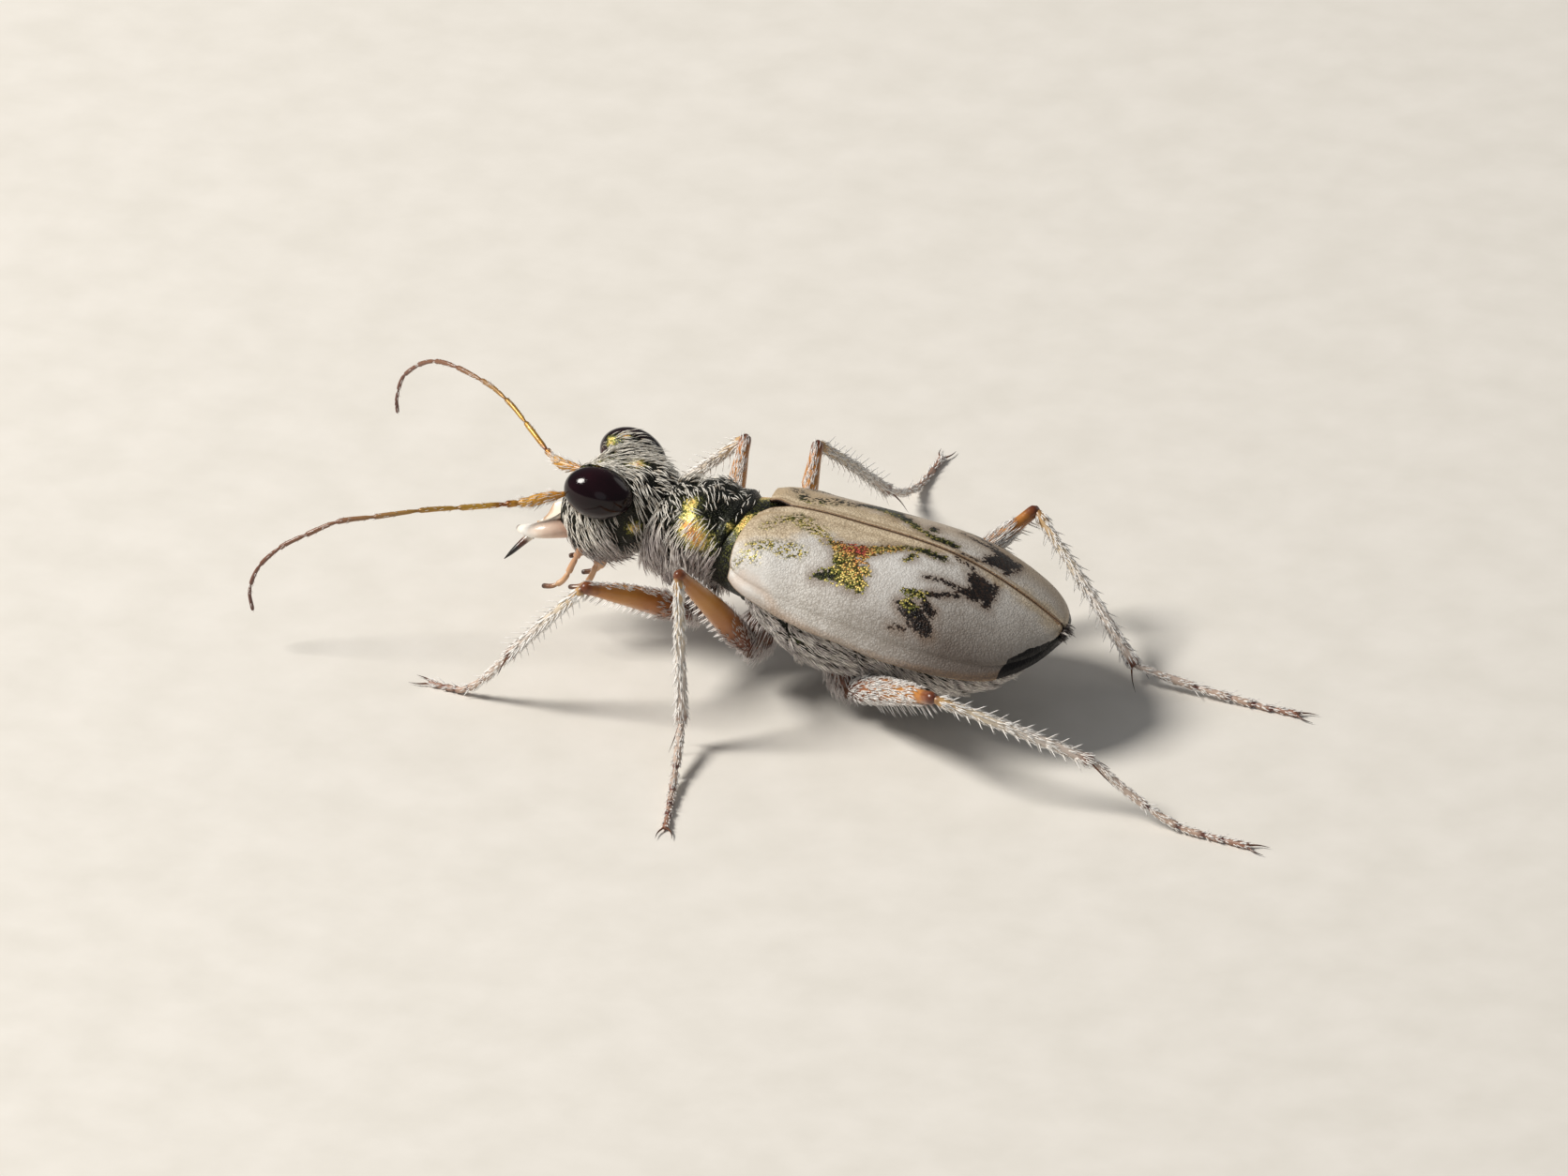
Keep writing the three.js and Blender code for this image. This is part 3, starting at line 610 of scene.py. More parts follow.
def spots(x, out, base, patches):
    """A base and soft oval patches: strength, place along and out, half size along and out."""
    return sum((strength * np.exp(-((x - x0) / wide_x) ** 2 - ((out - out0) / wide_out) ** 2)
                for strength, x0, out0, wide_x, wide_out in patches), base)


def ease(values, start, length):
    """0 up to a start, 1 from a length beyond it, and straight in between."""
    return np.clip((values - start) / length, 0, 1)


def case_fields(x, out, edge):
    """The fields that the finish reads: out is the way from the seam, edge from the side edge."""
    depths = {name + "_depth": stroke_depth(x, out, lines) for name, lines in strokes.items()}
    # a near-black strip along the side edge at the tip: painted shadow and the dark hind body
    tip = ease(x, 4.88, 0.12) * (0.27 + 0.05 * ease(x, 5.0, 0.25) - 0.12 * ease(x, 5.25, 0.25))
    return {
        **depths,
        "tip_depth": np.where(x > 4.86, tip - edge, far_outside),
        "beige": np.array([beige_edge(value) for value in x]) - out,
        "warmth": spots(x, out, 0.30, warm_spots),
        "bright": spots(x, out, 0, painted_light_spots),
        "smoothness": spots(x, out, 0, smooth_spots),
        # where painted shade lies, low on the flank towards the end
        "shade": ease(x, 1.4, 2.6) * ease(out, 0.4, 1.5),
        "from_seam": out,
        "from_edge": edge,
        "backwards": x / case_length,
    }


# %% [markdown]
# ## The plate itself
# The flat grid has a column for every step back along the case and a row for every step out
# from the seam. Two dimensions are enough, because the plate gets its wall from a solidify
# modifier. The columns stand closer together towards the tip, where the outline turns most.
# The way along the bent rows gives the true distance from the seam and from the side edge.

# %% Bend a grid over the profiles
case_steps_along = 200
case_steps_across = 100


def wing_case(side):
    bm = bmesh.new()
    bmesh.ops.create_grid(bm, x_segments=case_steps_along, y_segments=case_steps_across, size=0.5)
    rows, columns = case_steps_along + 1, case_steps_across + 1
    column = np.array([round((point.co.x + 0.5) * case_steps_along) for point in bm.verts])
    row = np.array([round((point.co.y + 0.5) * case_steps_across) for point in bm.verts])
    even = np.linspace(0, 1, rows)
    closer_at_the_tip = 0.6 * even + 0.4 * np.sin(even * math.pi / 2)
    x = case_length * closer_at_the_tip
    share = np.linspace(0, 1 + fold_share, columns)
    places = np.array([[wing_case_point(a, b, side) for b in share] for a in x])
    steps = np.linalg.norm(np.diff(places, axis=1), axis=2)
    out = np.concatenate([np.zeros((rows, 1)), np.cumsum(steps, axis=1)], axis=1)
    edge = out[:, np.searchsorted(share, 1.0)][:, None] - out
    fields = case_fields(x[column], out[column, row], edge[column, row])
    layers = {name: bm.verts.layers.float.new(name) for name in fields}
    for i, point in enumerate(bm.verts):
        point.co = places[column[i], row[i]]
        for name, layer in layers.items():
            point[layer] = float(fields[name][i])
    return bm


# %% [markdown]
# ## The finish of the wing cases
# Ivory shell scatters light softly and sparkles where each pit catches the lamp. Near the seam
# it is beige. Painted light and shade are laid over it: lighter on the top and the shoulder,
# greyer towards the end and darker and browner low on the flank, partly its own tint and partly
# painted shade, and a darker tan, painted as shade, where it is seen at a slant. The marks are
# metallic only where copper and green show; the brown blots are plain pigment. Layered
# metallic colour fades towards green and black at a slant, so the metal reads how far it is
# turned away. A dark hairline runs down the seam, with a tan line beside it, and the side edge
# is tan. A near-black strip along the edge at the tip is painted shadow and the dark hind body.

# %% Wing case finish
def wing_case_finish():
    nodes = new_finish("ivory_wing_case")
    here = nodes.here()
    grain = nodes.group(granule_group, Vector=here, Scale=26000.0)
    lot, gap = grain["Lot"], grain["Gap"]
    fine = nodes.noise(here, 30000, 2, 0.6)
    cloud = nodes.noise(here, 1700, 3, 0.55)
    field = nodes.attribute

    def mark(name, reach):
        return nodes.group(ragged_group, Lot=lot, Vector=here, Depth=field(name + "_depth"),
                           Reach=reach)["Mask"]

    rough_spot = nodes.less(1.0, nodes.times(field("smoothness"), 0.75))
    # granule tone at random, darkened in the gaps between granules as painted shade
    mottle = nodes.times(nodes.less(nodes.scaled(gap, -0.7, lot), 0.2), rough_spot)
    # painted light and shade from the spots, laid over the granule tone and a random cloud
    tone = nodes.plus(nodes.scaled(mottle, 0.17, nodes.times(cloud, 0.5)),
                      nodes.times(field("bright"), 0.20))
    ivory = nodes.ramp(tone, [(0.05, 176, 170, 162), (0.25, 208, 204, 198), (0.48, 227, 225, 221),
                              (0.75, 246, 245, 242)])
    beige = nodes.ramp(tone, [(0.05, 156, 136, 108), (0.28, 206, 187, 156), (0.52, 226, 210, 182),
                              (0.8, 244, 234, 214)])
    waver = nodes.waver(here, 3600, 3)
    near_seam = nodes.step(nodes.scaled(waver, 0.7, field("beige")), -0.22, 0.22)
    color = nodes.cover(ivory, near_seam, 0.9, beige)
    # greyer towards the end: partly the shell's own grey, partly painted shade
    end = nodes.step(field("backwards"), 0.60, 1.0)
    color = nodes.cover(color, end, 0.48, paint(136, 126, 114))
    # painted shade, dark brown-grey low on the flank towards the end, partly a browner tint of the
    # shell
    color = nodes.cover(color, field("shade"), 0.86, paint(84, 72, 64))
    smear = nodes.step(nodes.scaled(waver, 0.25, field("smear_depth")), -0.08, 0.14)
    color = nodes.cover(color, smear, 0.30, paint(190, 146, 104))
    # painted shade: the ivory turns a darker tan where it is seen at a slant
    facing = nodes.add("LayerWeight", {"Blend": 0.35}).outputs["Facing"]
    color = nodes.cover(color, nodes.step(facing, 0.34, 0.64), 0.60, paint(172, 146, 110))
    seam = field("from_seam")
    tan = nodes.ramp(fine, [(0.35, 92, 64, 42), (0.7, 160, 124, 86)])
    tan_edge = nodes.fall(nodes.scaled(waver, 0.10, field("from_edge")), 0.03, 0.12)
    color = nodes.cover(color, tan_edge, 0.35, tan)
    color = nodes.cover(color, nodes.fall(seam, 0.035, 0.065), 0.85, tan)
    nearest_mark = nodes.most(field("brown_depth"), field("metal_depth"))
    halo = nodes.step(nodes.scaled(waver, 0.20, nearest_mark), -0.20, 0.03)
    color = nodes.cover(color, halo, 0.55, paint(104, 80, 58))
    pigment = nodes.ramp(nodes.scaled(lot, 0.5, nodes.times(fine, 0.5)), [
        (0.3, 9, 5, 4), (0.6, 26, 16, 12), (0.85, 70, 50, 36)])
    color = nodes.mix(mark("brown", 0.16), color, pigment)
    # near-black strip at the tip's edge: painted shadow and the dark hind body seen past the tip
    color = nodes.mix(mark("tip", 0.03), color, paint(10, 7, 7))
    dusted = nodes.step(nodes.scaled(waver, 0.3, field("dust_depth")), -0.10, 0.10)
    grains = nodes.step(nodes.scaled(nodes.noise(here, 5200, 3), 0.7, lot), 0.86, 0.92)
    metal = nodes.most(nodes.most(mark("metal", 0.16), mark("green", 0.20)),
                       nodes.times(dusted, grains))
    warmth = nodes.scaled(nodes.step(facing, 0.38, 0.75), -0.60, field("warmth"))
    gilt = nodes.group(gilding_group, Lot=lot, Gap=gap, Warmth=warmth, Drift=0.36)["Color"]
    color = nodes.mix(metal, color, gilt)
    color = nodes.mix(nodes.fall(seam, 0.010, 0.022), color, paint(40, 24, 16))
    height = nodes.times(nodes.scaled(fine, 0.3, grain["Height"]), rough_spot)
    return material(nodes, color, nodes.scaled(lot, 0.25, 0.30), nodes.times(metal, 0.6),
                    bump(nodes, height, 0.0065), coat=0.07, coat_roughness=0.25, ior=1.33)


ivory_wing_case = wing_case_finish()
for name, side in sides.items():
    finished(wing_case(side), "wing_case_" + name, ivory_wing_case, "ivory_shell",
             ["elytron_" + name],
             tilt=trunk_tilt, shell=0.05)

# %% [markdown]
# ## Bronze shell
# The head, the pronotum, the collar and the trunk are dark bronze under their hair: nearly
# black green in most places, with patches of gold and copper that are partly the shell's own
# colour and partly painted glints where the lamp catches it. The patches have a place of their
# own, so each mesh stores a warmth, and the wrinkles of the shell are bump.

# %% Bronze finish, used with different wrinkles
def bronze_finish(name, scale, wrinkle, base_warmth, drift, roughness):
    nodes = new_finish(name)
    here = nodes.here()
    grain = nodes.group(granule_group, Vector=here, Scale=scale)
    wander = nodes.waver(here, scale / 7, 3, 0.6)
    warmth = nodes.scaled(wander, 0.22, nodes.plus(nodes.attribute("warmth"), base_warmth))
    # less painted shade in the gaps where the warmth and its painted glints are high
    gap = nodes.times(grain["Gap"], nodes.step(warmth, 0.56, 0.26))
    lot = grain["Lot"]
    color = nodes.group(gilding_group, Lot=lot, Gap=gap, Warmth=warmth, Drift=drift)["Color"]
    rough = nodes.scaled(lot, 0.22, roughness)
    return material(nodes, color, rough, 0.5, bump(nodes, grain["Height"], wrinkle), coat=0.05,
                    ior=1.4)


hairy_shell = bronze_finish("hairy_shell", 26000.0, 0.012, 0.05, 0.22, 0.26)
gilt_shell = bronze_finish("gilt_shell", 26000.0, 0.010, 0.08, 0.30, 0.25)
belly_shell = bronze_finish("belly_shell", 20000.0, 0.012, 0.02, 0.14, 0.34)


def set_warmth_and_glints(bm, patches):
    """Stores the warmth of each point, the shell's own gold and painted glints: a patch is (place,
    size, strength).
    """
    layer = bm.verts.layers.float.new("warmth")
    for point in bm.verts:
        point[layer] = sum(strength * math.exp(-((point.co - Vector(place)).length / size) ** 2)
                           for place, size, strength in patches)


def both_sides(*patches):
    return [((x, side * y, z), *rest) for (x, y, z), *rest in patches for side in sides.values()]


# %% [markdown]
# ## The pronotum
# Behind the head sits a barrel with a groove near each end and a faint line down the middle.
# It leans, because the neck runs down to the front legs. Rings set on three profiles make it,
# with the last rings drawn in so that both rims are rounded.

# %% Make the pronotum
collar_top = profile((-0.08, -0.15), (-0.03, -0.06), (0, -0.02), (0.1, 0.07), (0.2, 0.06),
                     (0.5, 0.19), (0.8, 0.12), (0.9, 0.16), (1, 0.10), (1.04, 0.03), (1.08, -0.12))
collar_half = profile((-0.08, 0.74), (-0.03, 0.84), (0, 0.87), (0.1, 0.94), (0.2, 0.87),
                      (0.5, 0.98), (0.8, 0.84), (0.9, 0.87), (1, 0.82), (1.04, 0.77), (1.08, 0.66))
collar_belly = profile((-0.08, -1.26), (0, -1.42), (0.5, -1.62), (1, -1.34), (1.08, -1.2))
neck_lean = 0.3
widest_at = 0.52


def leaning_ring(top, bottom, half, angle, squareness):
    """A point of a ring whose top and bottom are given as (x, z)."""
    middle = bottom[1] + widest_at * (top[1] - bottom[1])
    across, up = rounded(angle, squareness)
    rise = up * ((top[1] - middle) if up > 0 else (middle - bottom[1]))
    share = (middle + rise - bottom[1]) / (top[1] - bottom[1])
    return Vector((bottom[0] + share * (top[0] - bottom[0]), across * half, middle + rise))


def pronotum_point(t, angle):
    place = -0.08 + 1.16 * t
    x = -0.25 - 1.4 * place
    top, belly = collar_top(place), collar_belly(place)
    point = leaning_ring((x + neck_lean * top, top), (x + neck_lean * belly, belly),
                         collar_half(place), angle, 2.3)
    inside = smooth(place, 0.1, 0.25) * (1 - smooth(place, 0.75, 0.9))
    point.z -= 0.03 * hump(point.y, 0, 0.06) * inside * (1 if point.z > -0.4 else 0)
    return point


bm = bmesh.new()
add_sleeve(bm, 72, 48, pronotum_point)
# warm patches on the front and the sides, partly painted glints
set_warmth_and_glints(bm, both_sides(((-1.22, 0.56, 0.12), 0.20, 0.58), ((-1.12, 0.86, -0.25), 0.28, 0.50),
                          ((-0.85, 0.95, -0.50), 0.32, 0.46), ((-0.35, 0.75, -0.15), 0.13, 0.50)))
finished(bm, "pronotum_shell", hairy_shell, "bronze_shell", ["pronotum"], tilt=trunk_tilt)

# %% [markdown]
# ## The collar and the little shield
# Between the pronotum and the wing cases a gilt ring of the middle thorax shows, brightest at
# the side, where a painted glint is added to its gold, and a small three-cornered shield fills
# the notch between the wing cases. The shield is a triangle made by the circle operator,
# pulled to length, given depth and bevelled.

# %% Make the collar and the shield
def collar_point(t, angle):
    x = -0.42 + 0.80 * t
    lean = neck_lean * (1 - smooth(x, -0.1, 0.5))
    top = -0.07 - 0.05 * smooth(x, 0, 0.4)
    half = 0.92 + 0.28 * smooth(x, -0.4, 0.3)
    belly = -1.5 - 0.2 * smooth(x, -0.3, 0.4)
    return leaning_ring((x + lean * top, top), (x + lean * belly, belly), half, angle, 2.3)


bm = bmesh.new()
add_sleeve(bm, 64, 16, collar_point)
# the gold patch at each side is partly a painted glint
set_warmth_and_glints(bm, both_sides(((-0.18, 0.58, -0.02), 0.36, 0.56)) + [((-0.2, -1.0, -0.7), 0.4, 0.06)])
finished(bm, "gilt_collar", gilt_shell, "bronze_shell", tilt=trunk_tilt)


shield_front = -0.06


def shield():
    bm = bmesh.new()
    bmesh.ops.create_circle(bm, cap_ends=True, segments=3, radius=1)
    for point in bm.verts:
        corner = Vector((shield_front, math.copysign(shield_half, point.co.x), 0))
        point.co = Vector((shield_length, 0, 0)) if abs(point.co.x) < 1e-3 else corner
    faces = bmesh.ops.extrude_face_region(bm, geom=list(bm.faces))
    raised = [item for item in faces["geom"] if isinstance(item, bmesh.types.BMVert)]
    bmesh.ops.translate(bm, verts=raised, vec=(0, 0, 0.14))
    bmesh.ops.translate(bm, verts=bm.verts, vec=(0, 0, -0.16))
    bmesh.ops.bevel(bm, geom=list(bm.edges), offset=0.03, affect="EDGES", segments=3, profile=0.5,
                    material=-1)
    for point in bm.verts:
        x, y = point.co.x, point.co.y
        point.co.z -= 0.05 * hump(x, shield_front, 0.12) + 0.3 * abs(y) ** 2 / shield_half
    return bm


bm = shield()
set_warmth_and_glints(bm, [((0.1, 0, -0.05), 0.4, 0.32)])
finished(bm, "little_shield", gilt_shell, "bronze_shell", tilt=trunk_tilt)

# %% [markdown]
# ## The trunk under the wing cases
# From the collar to the tail runs one skin: the hind thorax with its side plates, then the
# belly, whose plates overlap like roof tiles, each with a rim that stands a little proud. One
# sleeve carries all of it, so that no seam shows; the plates are steps in its radius.

# %% Make the trunk
belly_line = profile((-0.4, -1.6), (0.4, -1.96), (0.9, -2.26), (1.6, -2.42), (2.3, -2.50),
                     (2.7, -2.58), (3.7, -2.64), (4.6, -2.28), (5.2, -1.80), (5.6, -1.50))
belly_inset = profile((0, 0.26), (1, 0.20), (1.5, 0.20), (2.0, 0.30), (2.5, 0.42), (3.4, 0.24),
                      (5.6, 0.20))
belly_squareness = profile((0.2, 2.3), (1.0, 3.5), (1.8, 3.5), (2.8, 2.2))
plate_edges = [2.28, 2.92, 3.54, 4.12, 4.66, 5.12, 5.46]
trunk_start, trunk_end = -0.1, 5.66


def plate_step(x):
    """How far the skin stands out, growing to each plate's rim and dropping behind it."""
    for start, end in zip(plate_edges, plate_edges[1:]):
        if start <= x < end:
            return 0.045 * ((x - start) / (end - start)) ** 1.5 * (1 - smooth(x, end - 0.03, end))
    return 0.0


def trunk_point(t, angle):
    x = trunk_start + (trunk_end - trunk_start) * t
    close = math.sqrt(max(1 - smooth(x, 5.30, 5.66), 0.0009))
    half = max(case_half(min(x, 5.2)) - belly_inset(x), 0.3)
    middle = case_margin(min(x, 5.5)) - 0.12 + 0.2 * smooth(x, 5.0, 5.6)
    roof = 0.42 - 0.32 * smooth(x, 4.9, 5.5)
    belly = belly_line(x)
    across, up = rounded(angle, belly_squareness(x))
    grow = plate_step(x)
    grow -= 0.06 * (hump(x, 0.95, 0.05) + hump(x, 2.2, 0.05)) * (1 if up < 0.2 else 0)
    y = across * (half + grow) * close
    z = middle + (up * roof if up > 0 else up * (middle - belly + grow)) * close
    crease = hump(x, 1.5, 0.7) * hump(angle_from_top(angle), 2.05, 0.09)
    y -= math.copysign(0.06 * crease, y)
    return Vector((x, y, z))


def angle_from_top(angle):
    return abs((angle + math.pi) % (2 * math.pi) - math.pi)


bm = bmesh.new()
add_sleeve(bm, 84, 200, trunk_point)
# warm patches, partly painted glints; the one on the near side alone is a painted glint
set_warmth_and_glints(bm, both_sides(((1.2, 1.3, -1.6), 0.7, 0.14))
           + [((0.2, -1.2, -1.2), 0.5, 0.22), ((4.2, 0, -2.4), 1.2, 0.10)])
finished(bm, "trunk_skin", belly_shell, "pale_hair", ["mesothorax", "metathorax", "abdomen"],
         tilt=trunk_tilt)

# %% [markdown]
# ## The head
# A tiger beetle's head is wider than its neck, with a nearly flat crown between two huge eyes
# and a face that slopes down to the jaws. It is one sleeve from the neck to the upper lip.
# Rings given by their top, bottom and width follow the profile; ridges over the eyes, a
# shallow valley between them and full cheeks are then pushed out of it. A thin lid of shell
# climbs the inner side of each eye, so the eye's place and size are set here.

# %% Make the head
head_steps = [0, 0.09, 0.17, 0.27, 0.41, 0.55, 0.69, 0.80, 0.90, 1.0]
head_rings = {
    "top_x": (-1.50, -1.72, -1.90, -2.02, -2.30, -2.65, -3.00, -3.28, -3.50, -3.68),
    "top_z": (-0.16, 0.11, 0.27, 0.37, 0.44, 0.45, 0.38, 0.20, -0.02, -0.30),
    "low_x": (-1.85, -2.05, -2.24, -2.40, -2.70, -3.05, -3.32, -3.48, -3.58, -3.64),
    "low_z": (-1.00, -1.06, -1.14, -1.26, -1.38, -1.42, -1.36, -1.26, -1.14, -1.02),
    "half": (0.50, 0.60, 0.68, 0.76, 0.82, 0.80, 0.74, 0.66, 0.57, 0.48),
}
head_profiles = {name: profile(*zip(head_steps, values)) for name, values in head_rings.items()}


eye_radii = Vector((0.62, 0.44, 0.465))
eye_centre = Vector((-2.80, 0.85, 0.12))
eye_pitch, eye_yaw = math.radians(9), math.radians(-6)


def lid_height(x, y):
    """Height of a thin lid on the inner top of the eye; it ends where the eye stands free."""
    ahead = x - eye_centre.x
    out = y - (eye_centre.y + math.tan(eye_yaw) * ahead)
    inside = 1 - (ahead / eye_radii.x) ** 2 - (out / eye_radii.y) ** 2
    if inside <= 0 or y > 0.69 + 0.09 * smooth(x, -2.75, -2.35):
        return -1
    top = eye_radii.z * math.sqrt(inside) * (1 - 0.10 * smooth(ahead, 0, 0.6))
    return eye_centre.z + top - math.tan(eye_pitch) * ahead + 0.025


def head_point(t, angle):
    ring = {name: curve(t) for name, curve in head_profiles.items()}
    close = 1 - 0.5 * smooth(t, 0.97, 1.0)
    point = leaning_ring((ring["top_x"], ring["top_z"]), (ring["low_x"], ring["low_z"]),
                         ring["half"] * close, angle, 2.4)
    ridge = hump(abs(point.y), 0.54, 0.15) * hump(point.x, -2.80, 0.48)
    valley = hump(point.y, 0, 0.25) * hump(point.x, -2.95, 0.40)
    if point.z > -0.2:
        point.z += 0.17 * ridge - 0.06 * valley
        point.z = max(point.z, lid_height(point.x, abs(point.y)))
    cheek = hump(point.x, -3.0, 0.4) * hump(point.z, -0.75, 0.3)
    point.y *= 1 + 0.07 * cheek
    return point


bm = bmesh.new()
add_sleeve(bm, 120, 110, head_point)
# warm patches, partly painted glints; the crown's near side gets a stronger glint than its far side
set_warmth_and_glints(bm, both_sides(((-3.12, 0.60, 0.42), 0.15, 0.43), ((-2.87, 0.68, 0.55), 0.10, 0.66),
                          ((-2.15, 0.75, -0.5), 0.16, 0.55), ((-3.55, 0.40, -0.55), 0.16, 0.22))
           + [((-2.36, -0.11, 0.41), 0.17, 0.60), ((-2.36, 0.11, 0.41), 0.12, 0.20),
              ((-3.15, 0.0, 0.28), 0.4, 0.30), ((-2.6, 0.0, 0.25), 0.3, 0.12)])
finished(bm, "head_capsule", hairy_shell, "bronze_shell", ["head"], tilt=head_tilt)

# %% [markdown]
# ## The eyes
# Each eye is a bulging oval of thousands of facets, so dark that it reads as polished black
# with a maroon depth. A sphere scaled to the oval gives the form; the facets are a very fine
# cell bump, and a clear coat carries the lamp's spark.

# %% Make the eyes
def eye_finish():
    nodes = new_finish("faceted_eye")
    here = nodes.here()
    facets = nodes.add("TexVoronoi", {"Vector": here, "Scale": 30000}, feature="DISTANCE_TO_EDGE")
    depth = nodes.noise(here, 1600, 3)
    color = nodes.ramp(depth, [(0.3, 9, 4, 7), (0.6, 30, 10, 17), (0.8, 56, 16, 24)])
    lift = nodes.step(facets.outputs["Distance"], 0.0, 0.12)
    return material(nodes, color, nodes.scaled(lift, -0.04, 0.12), 0.0,
                    bump(nodes, lift, 0.0004, 0.5), coat=0.14, coat_roughness=0.03, ior=1.30)


faceted_eye = eye_finish()
for name, side in sides.items():
    bm = bmesh.new()
    bmesh.ops.create_uvsphere(bm, u_segments=64, v_segments=40, radius=1)
    for point in bm.verts:
        point.co = point.co * eye_radii
        point.co.z *= 1 - 0.10 * smooth(point.co.x, 0, 0.6)
    turn = Matrix.Rotation(eye_pitch, 4, "Y") @ Matrix.Rotation(side * eye_yaw, 4, "Z")
    bmesh.ops.transform(bm, matrix=turn, verts=bm.verts)
    bmesh.ops.translate(bm, verts=bm.verts, vec=(eye_centre.x, side * eye_centre.y, eye_centre.z))
    finished(bm, "eye_ball_" + name, faceted_eye, "dark_eye", ["eye_" + name], tilt=head_tilt)

# %% [markdown]
# ## The mouth
# The ivory upper lip covers the roots of two long jaws that cross when closed. Each jaw is a
# sickle, ivory at the outside of its root and almost black at the tip and teeth. Below hang
# two pairs of jointed palps. They are all smooth horn whose colour changes from root to tip, so
# one finish reads how far along the piece each point lies, and three sets of colours serve it.

# %% Finishes of the mouth
def horn_finish(name, stops):
    """A smooth horn whose colour runs along the piece from its root to its tip."""
    nodes = new_finish(name)
    here = nodes.here()
    drift = nodes.waver(here, 6000, 3)
    color = nodes.ramp(nodes.scaled(drift, 0.16, nodes.attribute("along")), stops)
    fine = nodes.noise(here, 22000, 3)
    return material(nodes, color, nodes.scaled(fine, 0.15, 0.23), 0.0,
                    bump(nodes, fine, 0.005), coat=0.3, coat_roughness=0.15)


ivory_lip = horn_finish("ivory_lip", [
    (0.0, 196, 172, 144), (0.25, 236, 226, 208), (0.86, 242, 232, 214), (1.0, 190, 140, 88)])
jaw_horn = horn_finish("jaw_horn", [
    (0.0, 198, 156, 134), (0.30, 226, 204, 186), (0.46, 247, 244, 238), (0.67, 240, 232, 218),
    (0.75, 92, 52, 36), (0.83, 22, 13, 11)])
palp_horn = horn_finish("palp_horn", [
    (0.0, 200, 150, 118), (0.7, 208, 166, 126), (0.86, 128, 84, 56), (1.0, 58, 38, 30)])

# %% [markdown]
# ## The lip
# The upper lip is an ivory plate that slopes down over the jaws and ends in three blunt teeth.
# It could be a box with bevels, but a bent grid takes the bow and the teeth from two short
# formulas, and its wall again comes from the modifier.

# %% Make the lip
lip_root = Vector((-3.62, 0, -0.57))
lip_slope = Vector((-0.85, 0, -0.53)).normalized()
lip_across = Vector((0, 1, 0))
lip_up = lip_slope.cross(lip_across)


def upper_lip():
    bm = bmesh.new()
    bmesh.ops.create_grid(bm, x_segments=40, y_segments=20, size=1)
    layer = bm.verts.layers.float.new("along")
    for point in bm.verts:
        u, v = point.co.x, (point.co.y + 1) / 2
        teeth = 0.07 * hump(u, 0, 0.13) + 0.05 * (hump(u, 0.34, 0.13) + hump(u, -0.34, 0.13))
        reach = (0.72 - 0.16 * u * u + teeth) * v
        bow = 0.15 * (1 - u * u) + 0.04 * math.sin(v * math.pi)
        across = 0.47 * u * (1 - 0.12 * v)
        point.co = lip_root + lip_slope * reach + lip_across * across + lip_up * bow
        point[layer] = v
    return bm


bm = upper_lip()
finished(bm, "upper_lip", ivory_lip, "ivory_horn", ["labrum"], tilt=head_tilt, shell=0.07)

# %% [markdown]
# ## The jaws and the palps
# A sleeve on a curved path makes each sickle, and three small ones make its teeth. A palp is
# one sleeve too: its joints are swellings in the girth, which keeps the limb in one piece.

# %% Make the jaws and palps
jaw_paths = {
    "left": [(-3.50, -0.40, -0.90), (-3.80, -0.55, -0.91), (-4.12, -0.54, -1.00),
             (-4.42, -0.30, -1.13), (-4.64, 0.10, -1.31)],
    "right": [(-3.50, 0.40, -1.04), (-3.80, 0.54, -1.11), (-4.12, 0.48, -1.25),
              (-4.42, 0.14, -1.46), (-4.80, -0.16, -1.86)],
}
jaw_girth = profile((0, 0.20), (0.25, 0.19), (0.5, 0.135), (0.75, 0.08), (0.9, 0.052), (1, 0.008))
jaw_middle = 0.42
for name, side in sides.items():
    bm = bmesh.new()
    path = Path(jaw_paths[name])
    add_sleeve(bm, 20, 36, limb(path, jaw_girth, 0.8))
    for place, reach in ((0.34, 0.26), (0.46, 0.24), (0.58, 0.20)):
        root = path.at(place)[0]
        tip = root + Vector((-0.10, -side * reach, -0.06))
        tooth = Path([root, root.lerp(tip, 0.5) + Vector((-0.03, 0, 0)), tip])
        add_sleeve(bm, 10, 8, limb(tooth, lambda t: 0.068 * (1 - t) + 0.004))
    layer = bm.verts.layers.float["along"]
    for point in bm.verts:  # the teeth and the inner side take the dark colour of the tip
        inner = -side * (point.co.y - side * jaw_middle)
        if point[layer] < 0.66 and inner > 0.16:
            point[layer] = min(0.6 + inner, 0.9)
    finished(bm, "jaw_" + name, jaw_horn, "ivory_horn", ["mandible_" + name], tilt=head_tilt)

palp_paths = {
    "maxillary": ([(-3.20, 0.46, -1.10), (-3.36, 0.57, -1.50), (-3.48, 0.66, -1.78),
                   (-3.66, 0.70, -1.92), (-3.88, 0.65, -1.99)], 4),
    "labial": ([(-2.95, 0.22, -1.20), (-3.04, 0.28, -1.62), (-3.14, 0.32, -1.88),
                (-3.30, 0.34, -2.02), (-3.51, 0.32, -2.09)], 3),
}


def jointed(path, ends, thick, thin, pinch=0.55):
    """A limb of joints, each swelling towards its end and pinched where the next one starts."""
    def girth(t):
        joint = max(i for i in range(len(ends) - 1) if ends[i] <= t + 1e-6)
        within = (t - ends[joint]) / (ends[joint + 1] - ends[joint])
        swell = pinch + (1 - pinch) * smooth(within, 0, 0.25)
        swell *= 0.86 + 0.14 * smooth(within, 0.3, 0.85)
        swell *= 1 - (1 - pinch) * smooth(within, 0.93, 1.0)
        return (thick + (thin - thick) * t) * swell
    return limb(path, girth)


